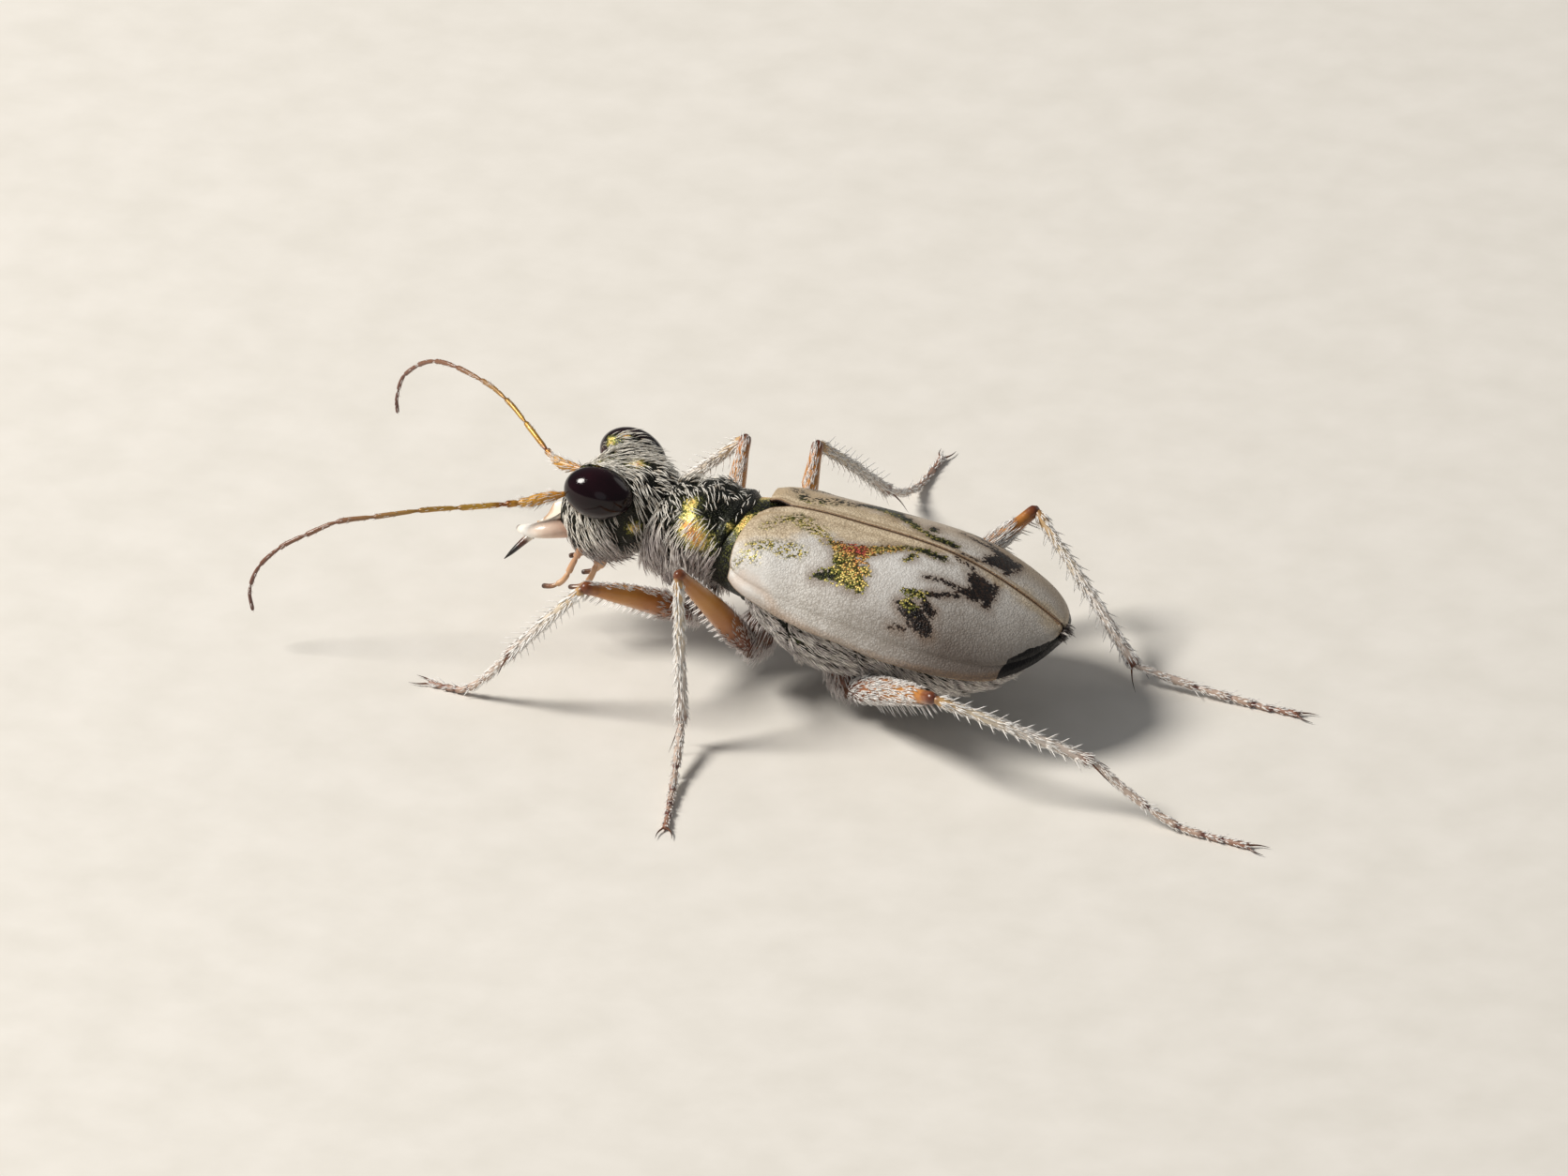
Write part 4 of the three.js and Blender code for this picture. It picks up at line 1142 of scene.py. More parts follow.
for kind, (stops, joints) in palp_paths.items():
    for name, side in sides.items():
        bm = bmesh.new()
        path = Path([(x, side * y, z) for x, y, z in stops])
        ends = [i / joints for i in range(joints + 1)]
        add_sleeve(bm, 14, 20 * joints, jointed(path, ends, 0.072, 0.045, 0.75))
        finished(bm, kind + "_palp_of_" + name, palp_horn, "ivory_horn", [kind + "_palp_" + name],
                 tilt=head_tilt)

# %% [markdown]
# ## The feelers
# Eleven joints make each feeler. The first is a stout amber one and the next four have a
# metallic gleam; the rest are dull red-brown. Each joint is a little thicker at its far end,
# and the whole sweeps forward and droops at the tip, along the line read from the photo.

# %% Make the feelers
feeler_paths = {
    "left": [(-3.58, -0.46, -0.26), (-3.92, -0.58, -0.34), (-4.2, -0.7, -0.42),
             (-5.12, -1.1, -0.49), (-5.85, -1.45, -0.51), (-6.62, -1.8, -0.61),
             (-7.23, -2.05, -0.7), (-7.74, -2.25, -0.95), (-8.17, -2.4, -1.21),
             (-8.56, -2.5, -1.64), (-8.72, -2.55, -2.11), (-8.67, -2.55, -2.51)],
    "right": [(-3.58, 0.46, -0.26), (-3.9, 0.6, -0.33), (-4.14, 0.68, -0.33), (-4.48, 0.95, -0.28),
              (-4.96, 1.35, -0.13), (-5.48, 1.75, 0.04), (-6.14, 2.2, 0.1), (-7.25, 2.75, 0),
              (-7.99, 3.1, -0.59), (-8.2, 3.2, -1.16), (-8.19, 3.2, -1.47)],
}
feeler_lengths = [0.80, 0.22, 0.80, 0.68, 0.76, 0.64, 0.58, 0.52, 0.48, 0.42, 0.5]
feeler_ends = [sum(feeler_lengths[:i]) / sum(feeler_lengths) for i in range(12)]
feeler_girth = profile((0, 0.085), (0.07, 0.105), (0.12, 0.075), (0.16, 0.062), (0.3, 0.050),
                       (0.7, 0.047), (1, 0.034))


def feeler_finish():
    nodes = new_finish("feeler_shell")
    here = nodes.here()
    along = nodes.attribute("along")
    color = nodes.ramp(nodes.scaled(nodes.waver(here, 8000, 3), 0.08, along), [
        (0.0, 176, 116, 36), (0.12, 206, 152, 50), (0.16, 128, 70, 26), (0.22, 190, 146, 56),
        (0.42, 156, 118, 62), (0.60, 132, 92, 66), (1.0, 100, 62, 54)])
    color = nodes.cover(color, nodes.attribute("joint"), 0.55, paint(92, 46, 26))
    gleam = nodes.times(nodes.step(along, 0.1, 0.16), nodes.fall(along, 0.38, 0.46))
    fine = nodes.noise(here, 24000, 3)
    return material(nodes, color, nodes.scaled(fine, 0.2, 0.28), nodes.times(gleam, 0.45),
                    bump(nodes, fine, 0.006), coat=0.2)


def mark_joints(bm, ends, width):
    """Stores how close each point is to the end of its joint."""
    layer = bm.verts.layers.float.new("joint")
    along = bm.verts.layers.float["along"]
    for point in bm.verts:
        point[layer] = max(math.exp(-((point[along] - end) / width) ** 2) for end in ends)


feeler_shell = feeler_finish()
feelers = {}
for name, side in sides.items():
    bm = bmesh.new()
    path = Path(feeler_paths[name])
    shape = jointed(path, feeler_ends, 1.0, 1.0, 0.62)

    def feeler_point(t, angle, path=path, shape=shape):
        centre = path.at(t)[0]
        return centre + (shape(t, angle) - centre) * feeler_girth(t)
    add_sleeve(bm, 12, 220, feeler_point)
    mark_joints(bm, feeler_ends[1:], 0.008)
    feelers[name] = feeler_point
    finished(bm, "feeler_" + name, feeler_shell, "feeler_brown",
             ["antenna_%s_%d" % (name, i) for i in (1, 2, 3)])

# %% [markdown]
# ## The legs
# A tiger beetle runs on long thin legs: a fat hip joint, a small swivel joint, a tapering
# amber thigh, a straight pale shin with two spurs, and a foot of five joints with two claws.
# All six are alike, so one set of functions is called with each leg's hip, knee, ankle and
# toe. The feet are set down so that their claws and last joints rest on the floor.

# %% Leg places and finishes
leg_places = {
    "front_left": [(-1.1, -0.6, -2.1), (-2.33, -2.75, -0.67), (-3.75, -2.89, -2.28), (-5.3, -2.65)],
    "middle_left": [(0.1, -0.95, -2.4), (-0.6, -2.71, -0.08), (-0.38, -3.15, -2.76), (0.35, -5.88)],
    "hind_left": [(1.95, -1.05, -2.78), (4.23, -3.03, -1.41), (7.07, -2.69, -2.29), (10.02, -2.93)],
    "front_right": [(-1.1, 0.6, -2.1), (-1.47, 2.95, -0.52), (-3.09, 2.85, -2.08), (-4.7, 3.2)],
    "middle_right": [(0.1, 0.95, -2.4), (-0.23, 3.27, -0.57), (0.39, 5.25, -2.47), (0.4, 8.02)],
    "hind_right": [(1.95, 1.05, -2.78), (3.85, 3.3, -1.11), (6.27, 1.75, -2.95), (9.35, 1.62)],
}
hip_roots = {"front": (-1.0, 0.32, -1.35), "middle": (0.3, 0.4, -1.65), "hind": (1.5, 0.45, -1.95)}
floor_level = -3.3


def leg_finish(name, stops, roughness, joint_color=None):
    nodes = new_finish(name)
    here = nodes.here()
    drift = nodes.waver(here, 3600, 3)
    color = nodes.ramp(nodes.scaled(drift, 0.18, nodes.attribute("along")), stops)
    if joint_color:
        color = nodes.cover(color, nodes.attribute("joint"), 0.9, joint_color)
    fine = nodes.noise(here, 16000, 4)
    return material(nodes, color, nodes.scaled(fine, 0.22, roughness - 0.1), 0.0,
                    bump(nodes, fine, 0.007), coat=0.25, coat_roughness=0.2)


hip_shell = leg_finish("hip_shell", [(0.0, 44, 28, 20), (0.5, 74, 44, 26), (1.0, 108, 60, 30)], 0.4)
amber_thigh = leg_finish("amber_thigh", [
    (0.0, 78, 36, 20), (0.18, 118, 62, 30), (0.40, 168, 104, 44), (0.66, 190, 130, 58),
    (0.88, 180, 116, 50), (0.95, 128, 70, 32), (1.0, 96, 46, 24)], 0.34)
straw_shin = leg_finish("straw_shin", [
    (0.0, 104, 56, 28), (0.05, 196, 156, 102), (0.25, 214, 198, 172), (0.6, 212, 202, 192),
    (0.9, 196, 180, 168), (0.98, 126, 84, 68)], 0.42)
pale_foot = leg_finish("pale_foot", [
    (0.0, 196, 180, 168), (0.6, 186, 160, 142), (1.0, 140, 94, 74)], 0.42, paint(92, 36, 30))
claw_horn = leg_finish("claw_horn", [
    (0.0, 126, 74, 44), (0.5, 74, 40, 26), (1.0, 34, 20, 16)], 0.26)

# %% [markdown]
# ## The parts of a leg
# Hip joint, thigh, shin and foot are sleeves whose girths are read from the photo. The swivel
# joint is a short sleeve inside the hip's piece. The foot comes down from the ankle in a curve
# and runs level for its last joints, so that it rests on the floor instead of piercing it.

# %% Make the legs
thigh_girth = profile((0, 0.10), (0.06, 0.155), (0.2, 0.20), (0.4, 0.20), (0.7, 0.155),
                      (0.88, 0.112), (0.94, 0.110), (0.98, 0.098), (1.0, 0.04))
shin_girth = profile((0, 0.045), (0.02, 0.075), (0.06, 0.092), (0.12, 0.078), (0.5, 0.086),
                     (0.9, 0.088), (0.97, 0.104), (1.0, 0.06))
foot_ends = [0, 0.38, 0.58, 0.73, 0.84, 1.0]
rest_height = 0.062
hip_overlap = 0.1
leg_paths = {}


def hip_path(leg, hip):
    pair, name = leg.split("_")
    x, y, z = hip_roots[pair]
    root = Vector((x, sides[name] * y, z))
    return Path([root, root.lerp(hip, 0.5), hip + (hip - root).normalized() * hip_overlap])


def foot_path(ankle, toe):
    """Down from the ankle in a curve, then level along the floor to the toe."""
    settle = ankle.lerp(toe, 0.55)
    settle.z = floor_level + rest_height + 0.06
    half = ankle.lerp(settle, 0.5)
    half.z = ankle.z + 0.60 * (settle.z - ankle.z)
    last = Vector((toe.x, toe.y, floor_level + rest_height))
    before = settle.lerp(last, 0.55)
    before.z = floor_level + rest_height
    return Path([ankle, half, settle, before, last])


for leg, (hip, knee, ankle, toe) in leg_places.items():
    hip, knee, ankle, toe = Vector(hip), Vector(knee), Vector(ankle), Vector((*toe, floor_level))
    rise = Vector((0, 0, 0.05))
    thigh = (knee - hip).normalized()
    paths = {
        "hip": hip_path(leg, hip),
        "swivel": Path([hip - thigh * 0.16, hip + thigh * 0.04, hip + thigh * 0.24]),
        "thigh": Path([hip + thigh * 0.10, hip.lerp(knee, 0.5) + rise, knee + thigh * 0.06]),
        "shin": Path([knee, knee.lerp(ankle, 0.5) + rise * 0.5, ankle]),
        "foot": foot_path(ankle, toe),
    }
    leg_paths[leg] = paths

hip_girth = profile((0, 0.30), (0.5, 0.33), (0.8, 0.26), (0.95, 0.16), (1, 0.05))
swivel_girth = profile((0, 0.03), (0.25, 0.15), (0.6, 0.165), (1, 0.04))
leg_pieces = {
    "hip": (hip_shell, "amber_leg", "coxa_", 28, 24),
    "thigh": (amber_thigh, "amber_leg", "femur_", 22, 48),
    "shin": (straw_shin, "straw_leg", "tibia_", 16, 48),
    "foot": (pale_foot, "straw_leg", "tarsus_", 14, 90),
}
leg_shapes = {}
for leg, paths in leg_paths.items():
    shapes = {
        "hip": limb(paths["hip"], hip_girth, 0.9),
        "thigh": limb(paths["thigh"], thigh_girth, 1.08),
        "shin": limb(paths["shin"], shin_girth),
        "foot": jointed(paths["foot"], foot_ends, 0.078, 0.056, 0.6),
    }
    leg_shapes[leg] = shapes
    for part, (finish, slot, stands_for, around, along) in leg_pieces.items():
        bm = bmesh.new()
        add_sleeve(bm, around, along, shapes[part])
        if part == "hip":
            add_sleeve(bm, 20, 12, limb(paths["swivel"], swivel_girth))
        if part == "foot":
            mark_joints(bm, foot_ends[1:-1], 0.022)
        finished(bm, part + "_" + leg, finish, slot, [stands_for + leg])

# %% [markdown]
# ## Spurs and claws
# Two spurs stand at the end of each shin, one of them long and dark, and two hooked claws end
# each foot. They are thin tapering sleeves on curved paths, joined into one piece for a leg.

# %% Make the spurs and claws
hook_clearance = 0.02
near_end = 0.985


def hook(bm, root, directions, length, girth):
    """A tapering hook that starts in one direction, ends in another and stays above the floor."""
    first, second = (Vector(direction).normalized() for direction in directions)
    bend = root + first * (length * 0.5)
    tip = bend + second * (length * 0.5)
    for point in (bend, tip):
        point.z = max(point.z, floor_level + girth + hook_clearance)
    path = Path([root, bend, tip])
    add_sleeve(bm, 8, 12, limb(path, lambda t: girth * (1 - 0.92 * t ** 1.2)))


for leg, paths in leg_paths.items():
    bm = bmesh.new()
    end, along, across, up = paths["shin"].at(near_end)
    for sign, length in ((1, 0.60), (-1, 0.38)):
        out = across * sign
        ways = (along + out * 0.45 - up * 0.25, along + out * 0.25 - up * 0.35)
        hook(bm, end + out * 0.05, ways, length, 0.018)
    end, along = paths["foot"].at(near_end)[:2]
    flat = Vector((along.x, along.y, 0)).normalized()
    down = Vector((0, 0, -0.06))
    for sign in (1, -1):
        out = Vector((-flat.y, flat.x, 0)) * sign
        ways = (flat + out * 0.55 + down, flat + out * 0.15 + down * 2.2)
        hook(bm, end + out * 0.02, ways, 0.40, 0.021)
    finished(bm, "claws_" + leg, claw_horn, "amber_leg")

# %% [markdown]
# ## The coat
# Pale hairs cover everything but the wing cases and the eyes: short curved ones on the crown
# and the pronotum, long drooping ones down the sides, flat silvery ones on the belly and legs,
# and a row of stiff bristles under each thigh. Hair curves would not survive the export, so
# each hair is a thin three-sided spike, bent twice. Thousands of them are made at once as
# arrays and joined into a few meshes. Each hair also keeps a tiny patch of a texture map, at
# the place where its root sits when the skin below is unrolled.

# %% Collect hairs and turn them into meshes
def surface_at(shape, t, angle, step=0.004):
    """Place, outward normal, direction along, and how much area a unit of t and angle covers."""
    point = shape(t, angle)
    low, high = max(t - step, 0), min(t + step, 1)
    along = (shape(high, angle) - shape(low, angle)) / (high - low)
    around = (shape(t, angle + step) - shape(t, angle - step)) / (2 * step)
    normal = along.cross(around)
    spread = normal.length
    normal.normalize()
    if normal.dot(point - shape(t, angle + math.pi)) < 0:
        normal.negate()
    return point, normal, along.normalized(), spread


hair_stations = (0.0, 0.34, 0.70, 1.0)
hair_sides = 3
hair_clearance = 0.03
patch_radius = 0.0015
patch_turn = 2.4


class Coat:
    """Gathers hairs: root, the way each leaves and bends, its size, tone and place in the map."""
    def __init__(self):
        self.rows = []

    def hair(self, root, start, bend, length, girth, tone, patch):
        start = start.normalized()
        lowest = root.z + length * min(start.z + bend.z, start.z * 0.7 + bend.z * 0.5)
        if lowest > floor_level + hair_clearance:
            self.rows.append((*root, *start, *bend, length, girth, *patch, tone))

    def mesh(self, name, tilt=level):
        data = np.array(self.rows)
        count = len(data)
        parts = np.split(data, (3, 6, 9, 10, 11, 13), axis=1)
        root, start, bend, length, girth, patch, tone = parts
        side = np.cross(start, bend + np.array([0.11, 0.07, 0.05]))
        side = side / np.linalg.norm(side, axis=1, keepdims=True)
        other = np.cross(start, side)
        rings = []
        for s in hair_stations[:-1]:
            centre = root + length * (start * s + bend * s * s)
            width = girth * (1 - 0.6 * s)
            for k in range(hair_sides):
                angle = 2 * math.pi * k / hair_sides
                rings.append(centre + width * (side * math.cos(angle) + other * math.sin(angle)))
        rings.append(root + length * (start + bend))
        points = np.stack(rings, axis=1)
        per = points.shape[1]
        faces = [(2, 1, 0)]
        for r in range(len(hair_stations) - 2):
            for k in range(hair_sides):
                a, b = r * hair_sides + k, r * hair_sides + (k + 1) % hair_sides
                faces += [(a, b, b + hair_sides), (a, b + hair_sides, a + hair_sides)]
        last = (len(hair_stations) - 2) * hair_sides
        faces += [(last + k, last + (k + 1) % hair_sides, per - 1) for k in range(hair_sides)]
        starts = (np.arange(count) * per)[:, None, None]
        whole = (np.array(faces)[None, :, :] + starts).reshape(-1, 3)
        place = np.array(to_frame @ tilt)
        points = points.reshape(-1, 3) @ place[:3, :3].T + place[:3, 3]
        mesh = bpy.data.meshes.new(name)
        mesh.vertices.add(len(points))
        mesh.vertices.foreach_set("co", points.ravel())
        mesh.loops.add(whole.size)
        mesh.loops.foreach_set("vertex_index", whole.ravel())
        mesh.polygons.add(len(whole))
        mesh.polygons.foreach_set("loop_start", np.arange(0, whole.size, 3))
        mesh.update(calc_edges=True)
        turns = patch_turn * np.arange(per)
        spread = patch_radius * np.stack([np.cos(turns), np.sin(turns)], axis=1)
        places = (patch[:, None, :] + spread[None, :, :]).reshape(-1, 2)
        mesh.uv_layers.new(name="OFBake").data.foreach_set("uv", places[whole.ravel()].ravel())
        station = np.array([hair_stations[i // hair_sides] for i in range(per)])
        for label, values in (("hair_share", np.tile(station, count)),
                              ("tone", np.repeat(tone, per))):
            mesh.attributes.new(label, "FLOAT", "POINT").data.foreach_set("value", values)
        print("coat", name, count, "hairs")
        return mesh


def hair_finish(name, root_color, tip_color, shade_color, roughness):
    """Tone 0 is pale, 1 the greyer colour of shaded sides, and 2 dark brown."""
    nodes = new_finish(name)
    here = nodes.here()
    waver = nodes.waver(here, 6000, 2)
    share = nodes.scaled(waver, 0.9, nodes.attribute("hair_share"))
    color = nodes.ramp(share, [(0.0, *root_color), (0.55, *tip_color), (1.0, *tip_color)])
    tone = nodes.scaled(waver, 0.5, nodes.attribute("tone"))
    color = nodes.cover(color, nodes.step(tone, 0.0, 1.0), 0.85, paint(*shade_color))
    color = nodes.mix(nodes.step(tone, 1.3, 1.8), color, paint(52, 34, 26))
    rough = nodes.scaled(nodes.noise(here, 9000, 2), 0.2, roughness - 0.1)
    return material(nodes, color, rough, 0.0, bump(nodes, nodes.noise(here, 60000, 2), 0.002),
                    sheen=0.2)


silver_hair = hair_finish("silver_hair", (156, 142, 122), (252, 248, 238), (146, 132, 134), 0.38)
warm_hair = hair_finish("warm_hair", (232, 226, 218), (253, 251, 248), (202, 190, 186), 0.40)

# %% [markdown]
# ## Combing
# A groomer sets a few guide hairs and lets the rest follow. The same is done here: a guide
# says which way hair runs at one place, how it then sweeps, how far it stands off the skin,
# its length, its thickness, how densely it grows and its tone. A hair anywhere takes the mean
# of the guides near it, and a seeded draw makes it its own. Guides are given for the right
# side and mirrored.

# %% Comb and grow
draw = random.Random(20458)
root_depth = 0.01
guide_blend = 0.004
DOWN = Vector((0, 0, -1))
UP = Vector((0, 0, 1))


def jitter(amount):
    return Vector((draw.uniform(-1, 1), draw.uniform(-1, 1), draw.uniform(-1, 1))) * amount


def lying(direction, normal, lift):
    """A direction laid on the skin and then lifted off it."""
    flat = direction - normal * direction.dot(normal)
    return flat.normalized() * math.cos(lift) + normal * math.sin(lift)


def combed(guides, point):
    """The mean guide at a place: flow, sweep, lift, length, girth, density and tone."""
    side = -1 if point.y < 0 else 1
    total, mean = 0.0, [Vector(), Vector(), 0.0, 0.0, 0.0, 0.0, 0.0]
    here = Vector((point.x, abs(point.y), point.z))
    for place, *values in guides:
        weight = 1 / ((here - Vector(place)).length_squared + guide_blend) ** 2
        total += weight
        for i, value in enumerate(values):
            mean[i] += (Vector(value) if i < 2 else value) * weight
    flow, sweep, *rest = [value / total for value in mean]
    flip = Vector((1, side, 1))
    return flow * flip, sweep * flip, *rest


def grow(coat, shape, density, rule, patch_box, low=0.0, high=1.0):
    """Grows density hairs on a square millimetre of a sleeve wherever rule gives a hair."""
    rings, turns = 24, 13
    limit = max(surface_at(shape, low + (high - low) * i / rings, k * 0.5)[3]
                for i in range(rings + 1) for k in range(turns))
    for _ in range(int(density * limit * (high - low) * 2 * math.pi)):
        t, angle = draw.uniform(low, high), draw.uniform(-math.pi, math.pi)
        point, normal, along, spread = surface_at(shape, t, angle)
        if draw.random() * limit > spread:
            continue
        made = rule(point, normal, along, t)
        if made is not None:
            u0, v0, u1, v1 = patch_box
            patch = (u0 + (u1 - u0) * (angle / (2 * math.pi) + 0.5), v0 + (v1 - v0) * t)
            coat.hair(point - normal * root_depth, *made, patch)


def guided(guides, keep_out, stray):
    """A rule for grow: hair follows the guides, strays a little, and keeps out where told."""
    def rule(point, normal, along, t):
        if keep_out(point, t):
            return None
        flow, sweep, lift, length, girth, density, tone = combed(guides, point)
        if draw.random() > density:
            return None
        start = lying(flow + jitter(stray), normal, math.radians(lift * draw.uniform(0.6, 1.4)))
        bend = sweep - normal * draw.uniform(0.15, 0.45) + jitter(0.07)
        return start, bend, length * draw.uniform(0.7, 1.2), girth * draw.uniform(0.8, 1.2), tone
    return rule


# %% [markdown]
# ## Hair on the head and the pronotum
# On the crown fine hairs lie straight back between the eyes and then stand up and swirl
# behind them. Under each eye stands a moustache of thick white hairs that sweep back, greyer
# lower down as painted shade. The pronotum has loose white curls on a black green back, silver
# ones slanting down its sides, and below them a long fringe, painted lilac-grey as shade, that
# draws together over the front leg.

# %% Grow the hair of head and pronotum
# place, flow, sweep, lift in degrees, length, girth, density, tone (1 greys hair as painted shade)
pronotum_guides = [
    ((-0.95, 0.00, 0.12), (-0.7, -0.7, 0.0), (0.15, 0.1, 0), 34, 0.22, 0.0120, 0.22, 0.0),
    ((-0.90, 0.45, 0.08), (-0.4, -0.8, 0.2), (-0.3, 0.0, 0), 36, 0.22, 0.0120, 0.22, 0.0),
    ((-1.45, 0.00, 0.08), (0.5, 0.8, 0.0), (0.2, 0.1, -0.1), 34, 0.24, 0.0130, 0.40, 0.0),
    ((-1.45, 0.45, 0.06), (0.6, 0.6, 0.0), (0.2, 0.1, -0.1), 34, 0.26, 0.0130, 0.40, 0.0),
    ((-0.46, 0.60, -0.03), (-0.5, -0.5, 0.1), (0, 0, -0.1), 30, 0.18, 0.0110, 0.08, 0.0),
    ((-0.50, 0.82, -0.25), (-0.5, 0.1, -0.8), (0, 0, -0.1), 26, 0.20, 0.0120, 0.05, 0.1),
    ((-1.25, 0.62, 0.02), (-0.60, 0.25, -0.7), (0.05, 0, -0.1), 14, 0.22, 0.0100, 0.14, 0.0),
    ((-1.15, 0.85, -0.28), (-0.60, 0.25, -0.7), (0.05, 0, -0.1), 12, 0.36, 0.0110, 0.36, 0.0),
    ((-0.85, 0.92, -0.40), (-0.55, 0.20, -0.8), (0, 0, -0.1), 14, 0.34, 0.0110, 0.34, 0.05),
    ((-1.70, 0.75, -0.60), (0.25, 0.1, -0.95), (0.15, 0, -0.1), 24, 0.42, 0.0125, 0.85, 0.7),
    ((-1.30, 0.95, -0.62), (0.15, 0.1, -1.0), (0.05, 0, -0.1), 24, 0.42, 0.0125, 0.85, 0.6),
    ((-0.96, 0.95, -0.80), (-0.15, 0.1, -1.0), (0, -0.1, -0.1), 22, 0.44, 0.0125, 0.95, 0.8),
    ((-0.50, 0.92, -0.80), (-0.50, 0.1, -0.9), (-0.15, -0.1, -0.1), 20, 0.38, 0.0120, 0.80, 0.8),
    ((-1.25, 0.75, -1.30), (0.1, 0.1, -1.0), (0, -0.1, -0.1), 24, 0.44, 0.0125, 1.00, 1.0),
    ((-1.10, 0.00, -1.62), (-0.6, 0.0, -0.3), (0, 0, -0.1), 24, 0.22, 0.0110, 0.4, 1.0)]
head_guides = [
    ((-3.20, 0.00, 0.28), (1.0, 0.0, 0.2), (0, 0, 0), 14, 0.24, 0.0105, 0.85, 0.0),
    ((-3.15, 0.30, 0.36), (0.9, 0.3, 0.4), (0.3, 0, -0.1), 36, 0.28, 0.0110, 0.72, 0.0),
    ((-3.15, 0.60, 0.42), (0.5, -0.2, 0.9), (0.5, 0.1, -0.1), 52, 0.22, 0.0105, 0.42, 0.0),
    ((-2.82, 0.64, 0.52), (0.8, 0.2, 0.6), (0.5, 0.1, -0.3), 44, 0.27, 0.0110, 0.75, 0.0),
    ((-2.48, 0.68, 0.42), (0.9, 0.3, 0.2), (0.3, 0.1, -0.3), 34, 0.28, 0.0110, 0.60, 0.0),
    ((-2.80, 0.05, 0.36), (1.0, 0.1, 0.0), (0, 0, 0), 14, 0.26, 0.0105, 0.72, 0.0),
    ((-2.45, 0.45, 0.42), (0.9, 0.2, 0.1), (0.2, 0, -0.2), 26, 0.26, 0.0120, 0.56, 0.0),
    ((-2.26, 0.00, 0.38), (0.9, 0.3, 0.0), (0, 0.2, -0.1), 26, 0.30, 0.0125, 0.50, 0.0),
    ((-2.15, 0.50, 0.32), (0.55, 0.75, -0.3), (0.2, 0, -0.2), 32, 0.28, 0.0130, 0.46, 0.0),
    ((-1.95, 0.20, 0.22), (0.7, -0.5, -0.2), (0.1, 0.3, -0.1), 34, 0.28, 0.0125, 0.36, 0.0),
    ((-2.10, 0.78, -0.12), (0.55, 0.2, -0.9), (0.1, 0, -0.1), 26, 0.32, 0.0130, 0.24, 0.0),
    ((-1.95, 0.72, -0.45), (0.30, 0.1, -1.0), (0.0, 0, -0.1), 26, 0.36, 0.0120, 0.55, 0.45),
    ((-2.38, 0.78, -0.55), (0.4, 0.0, -0.9), (0, 0, 0), 20, 0.20, 0.0100, 0.03, 0.5),
    ((-3.28, 0.58, -0.50), (0.15, 0.15, -1.0), (0.42, 0, 0.0), 38, 0.34, 0.0170, 0.42, -0.3),
    ((-3.00, 0.70, -0.62), (0.30, 0.1, -1.0), (0.42, 0, 0.0), 32, 0.40, 0.0150, 0.50, 0.1),
    ((-2.72, 0.76, -0.75), (0.45, 0.1, -0.9), (0.32, 0, 0.0), 30, 0.40, 0.0140, 0.55, 0.7),
    ((-2.95, 0.55, -1.15), (0.35, 0.0, -1.0), (0.3, 0, 0.0), 28, 0.34, 0.0130, 0.60, 0.9),
    ((-3.40, 0.35, -1.00), (0.25, 0.1, -1.0), (0.3, 0, 0.0), 34, 0.28, 0.0140, 0.20, 0.5),
    ((-3.50, 0.00, -0.08), (0.7, 0.0, 0.5), (0, 0, 0), 18, 0.20, 0.0100, 0.75, 0.0),
    ((-3.60, 0.30, -0.55), (0.4, 0.0, -0.5), (0, 0, 0), 20, 0.12, 0.0080, 0.10, 0.2),
    ((-2.50, 0.00, -1.40), (0.7, 0.0, -0.4), (0, 0, 0), 24, 0.20, 0.0110, 0.30, 1.0)]


bare_eye = (0.60, 0.42, 0.44)
whole_map = (0.02, 0.02, 0.98, 0.98)


def near_eye(point, t):
    """Where no hair grows on the head: round the eyes and at both ends."""
    away = Vector((point.x, abs(point.y), point.z)) - eye_centre
    return t < 0.08 or t > 0.95 or sum((a / radius) ** 2 for a, radius in zip(away, bare_eye)) < 1.0


coat = Coat()
pronotum_rule = guided(pronotum_guides, lambda point, t: t < 0.03, 0.26)
grow(coat, pronotum_point, 420, pronotum_rule, whole_map)
dressed(coat.mesh("pronotum_hair", trunk_tilt), "pronotum_hair", silver_hair, "pale_hair")
coat = Coat()
grow(coat, head_point, 440, guided(head_guides, near_eye, 0.22), whole_map)
dressed(coat.mesh("head_hair", head_tilt), "head_hair", silver_hair, "pale_hair")

# %% [markdown]
# ## Hair on the trunk
# Under the side edge of the wing cases the trunk looks silver: flat hairs lie back along every
# plate and hide most of the dark shell, leaving bare gaps between the plates. Longer ones
# hang where the legs join. A dark tuft ends the body.

# %% Grow the hair of the trunk
bare_seam = [(0.82, -1.52), (1.13, -1.70), (1.55, -1.98), (1.9, -2.23), (2.28, -2.50)]


def bare(point):
    """How near a place is to the seams between the plates, 1 on a seam."""
    nearest = min(math.hypot(point.x - x - share * (x2 - x), point.z - z - share * (z2 - z))
                  for (x, z), (x2, z2) in zip(bare_seam, bare_seam[1:])
                  for share in (0.1, 0.3, 0.5, 0.7, 0.9))
    return hump(nearest, 0, 0.07) + 0.8 * sum(hump(point.x, edge, 0.03) for edge in plate_edges)


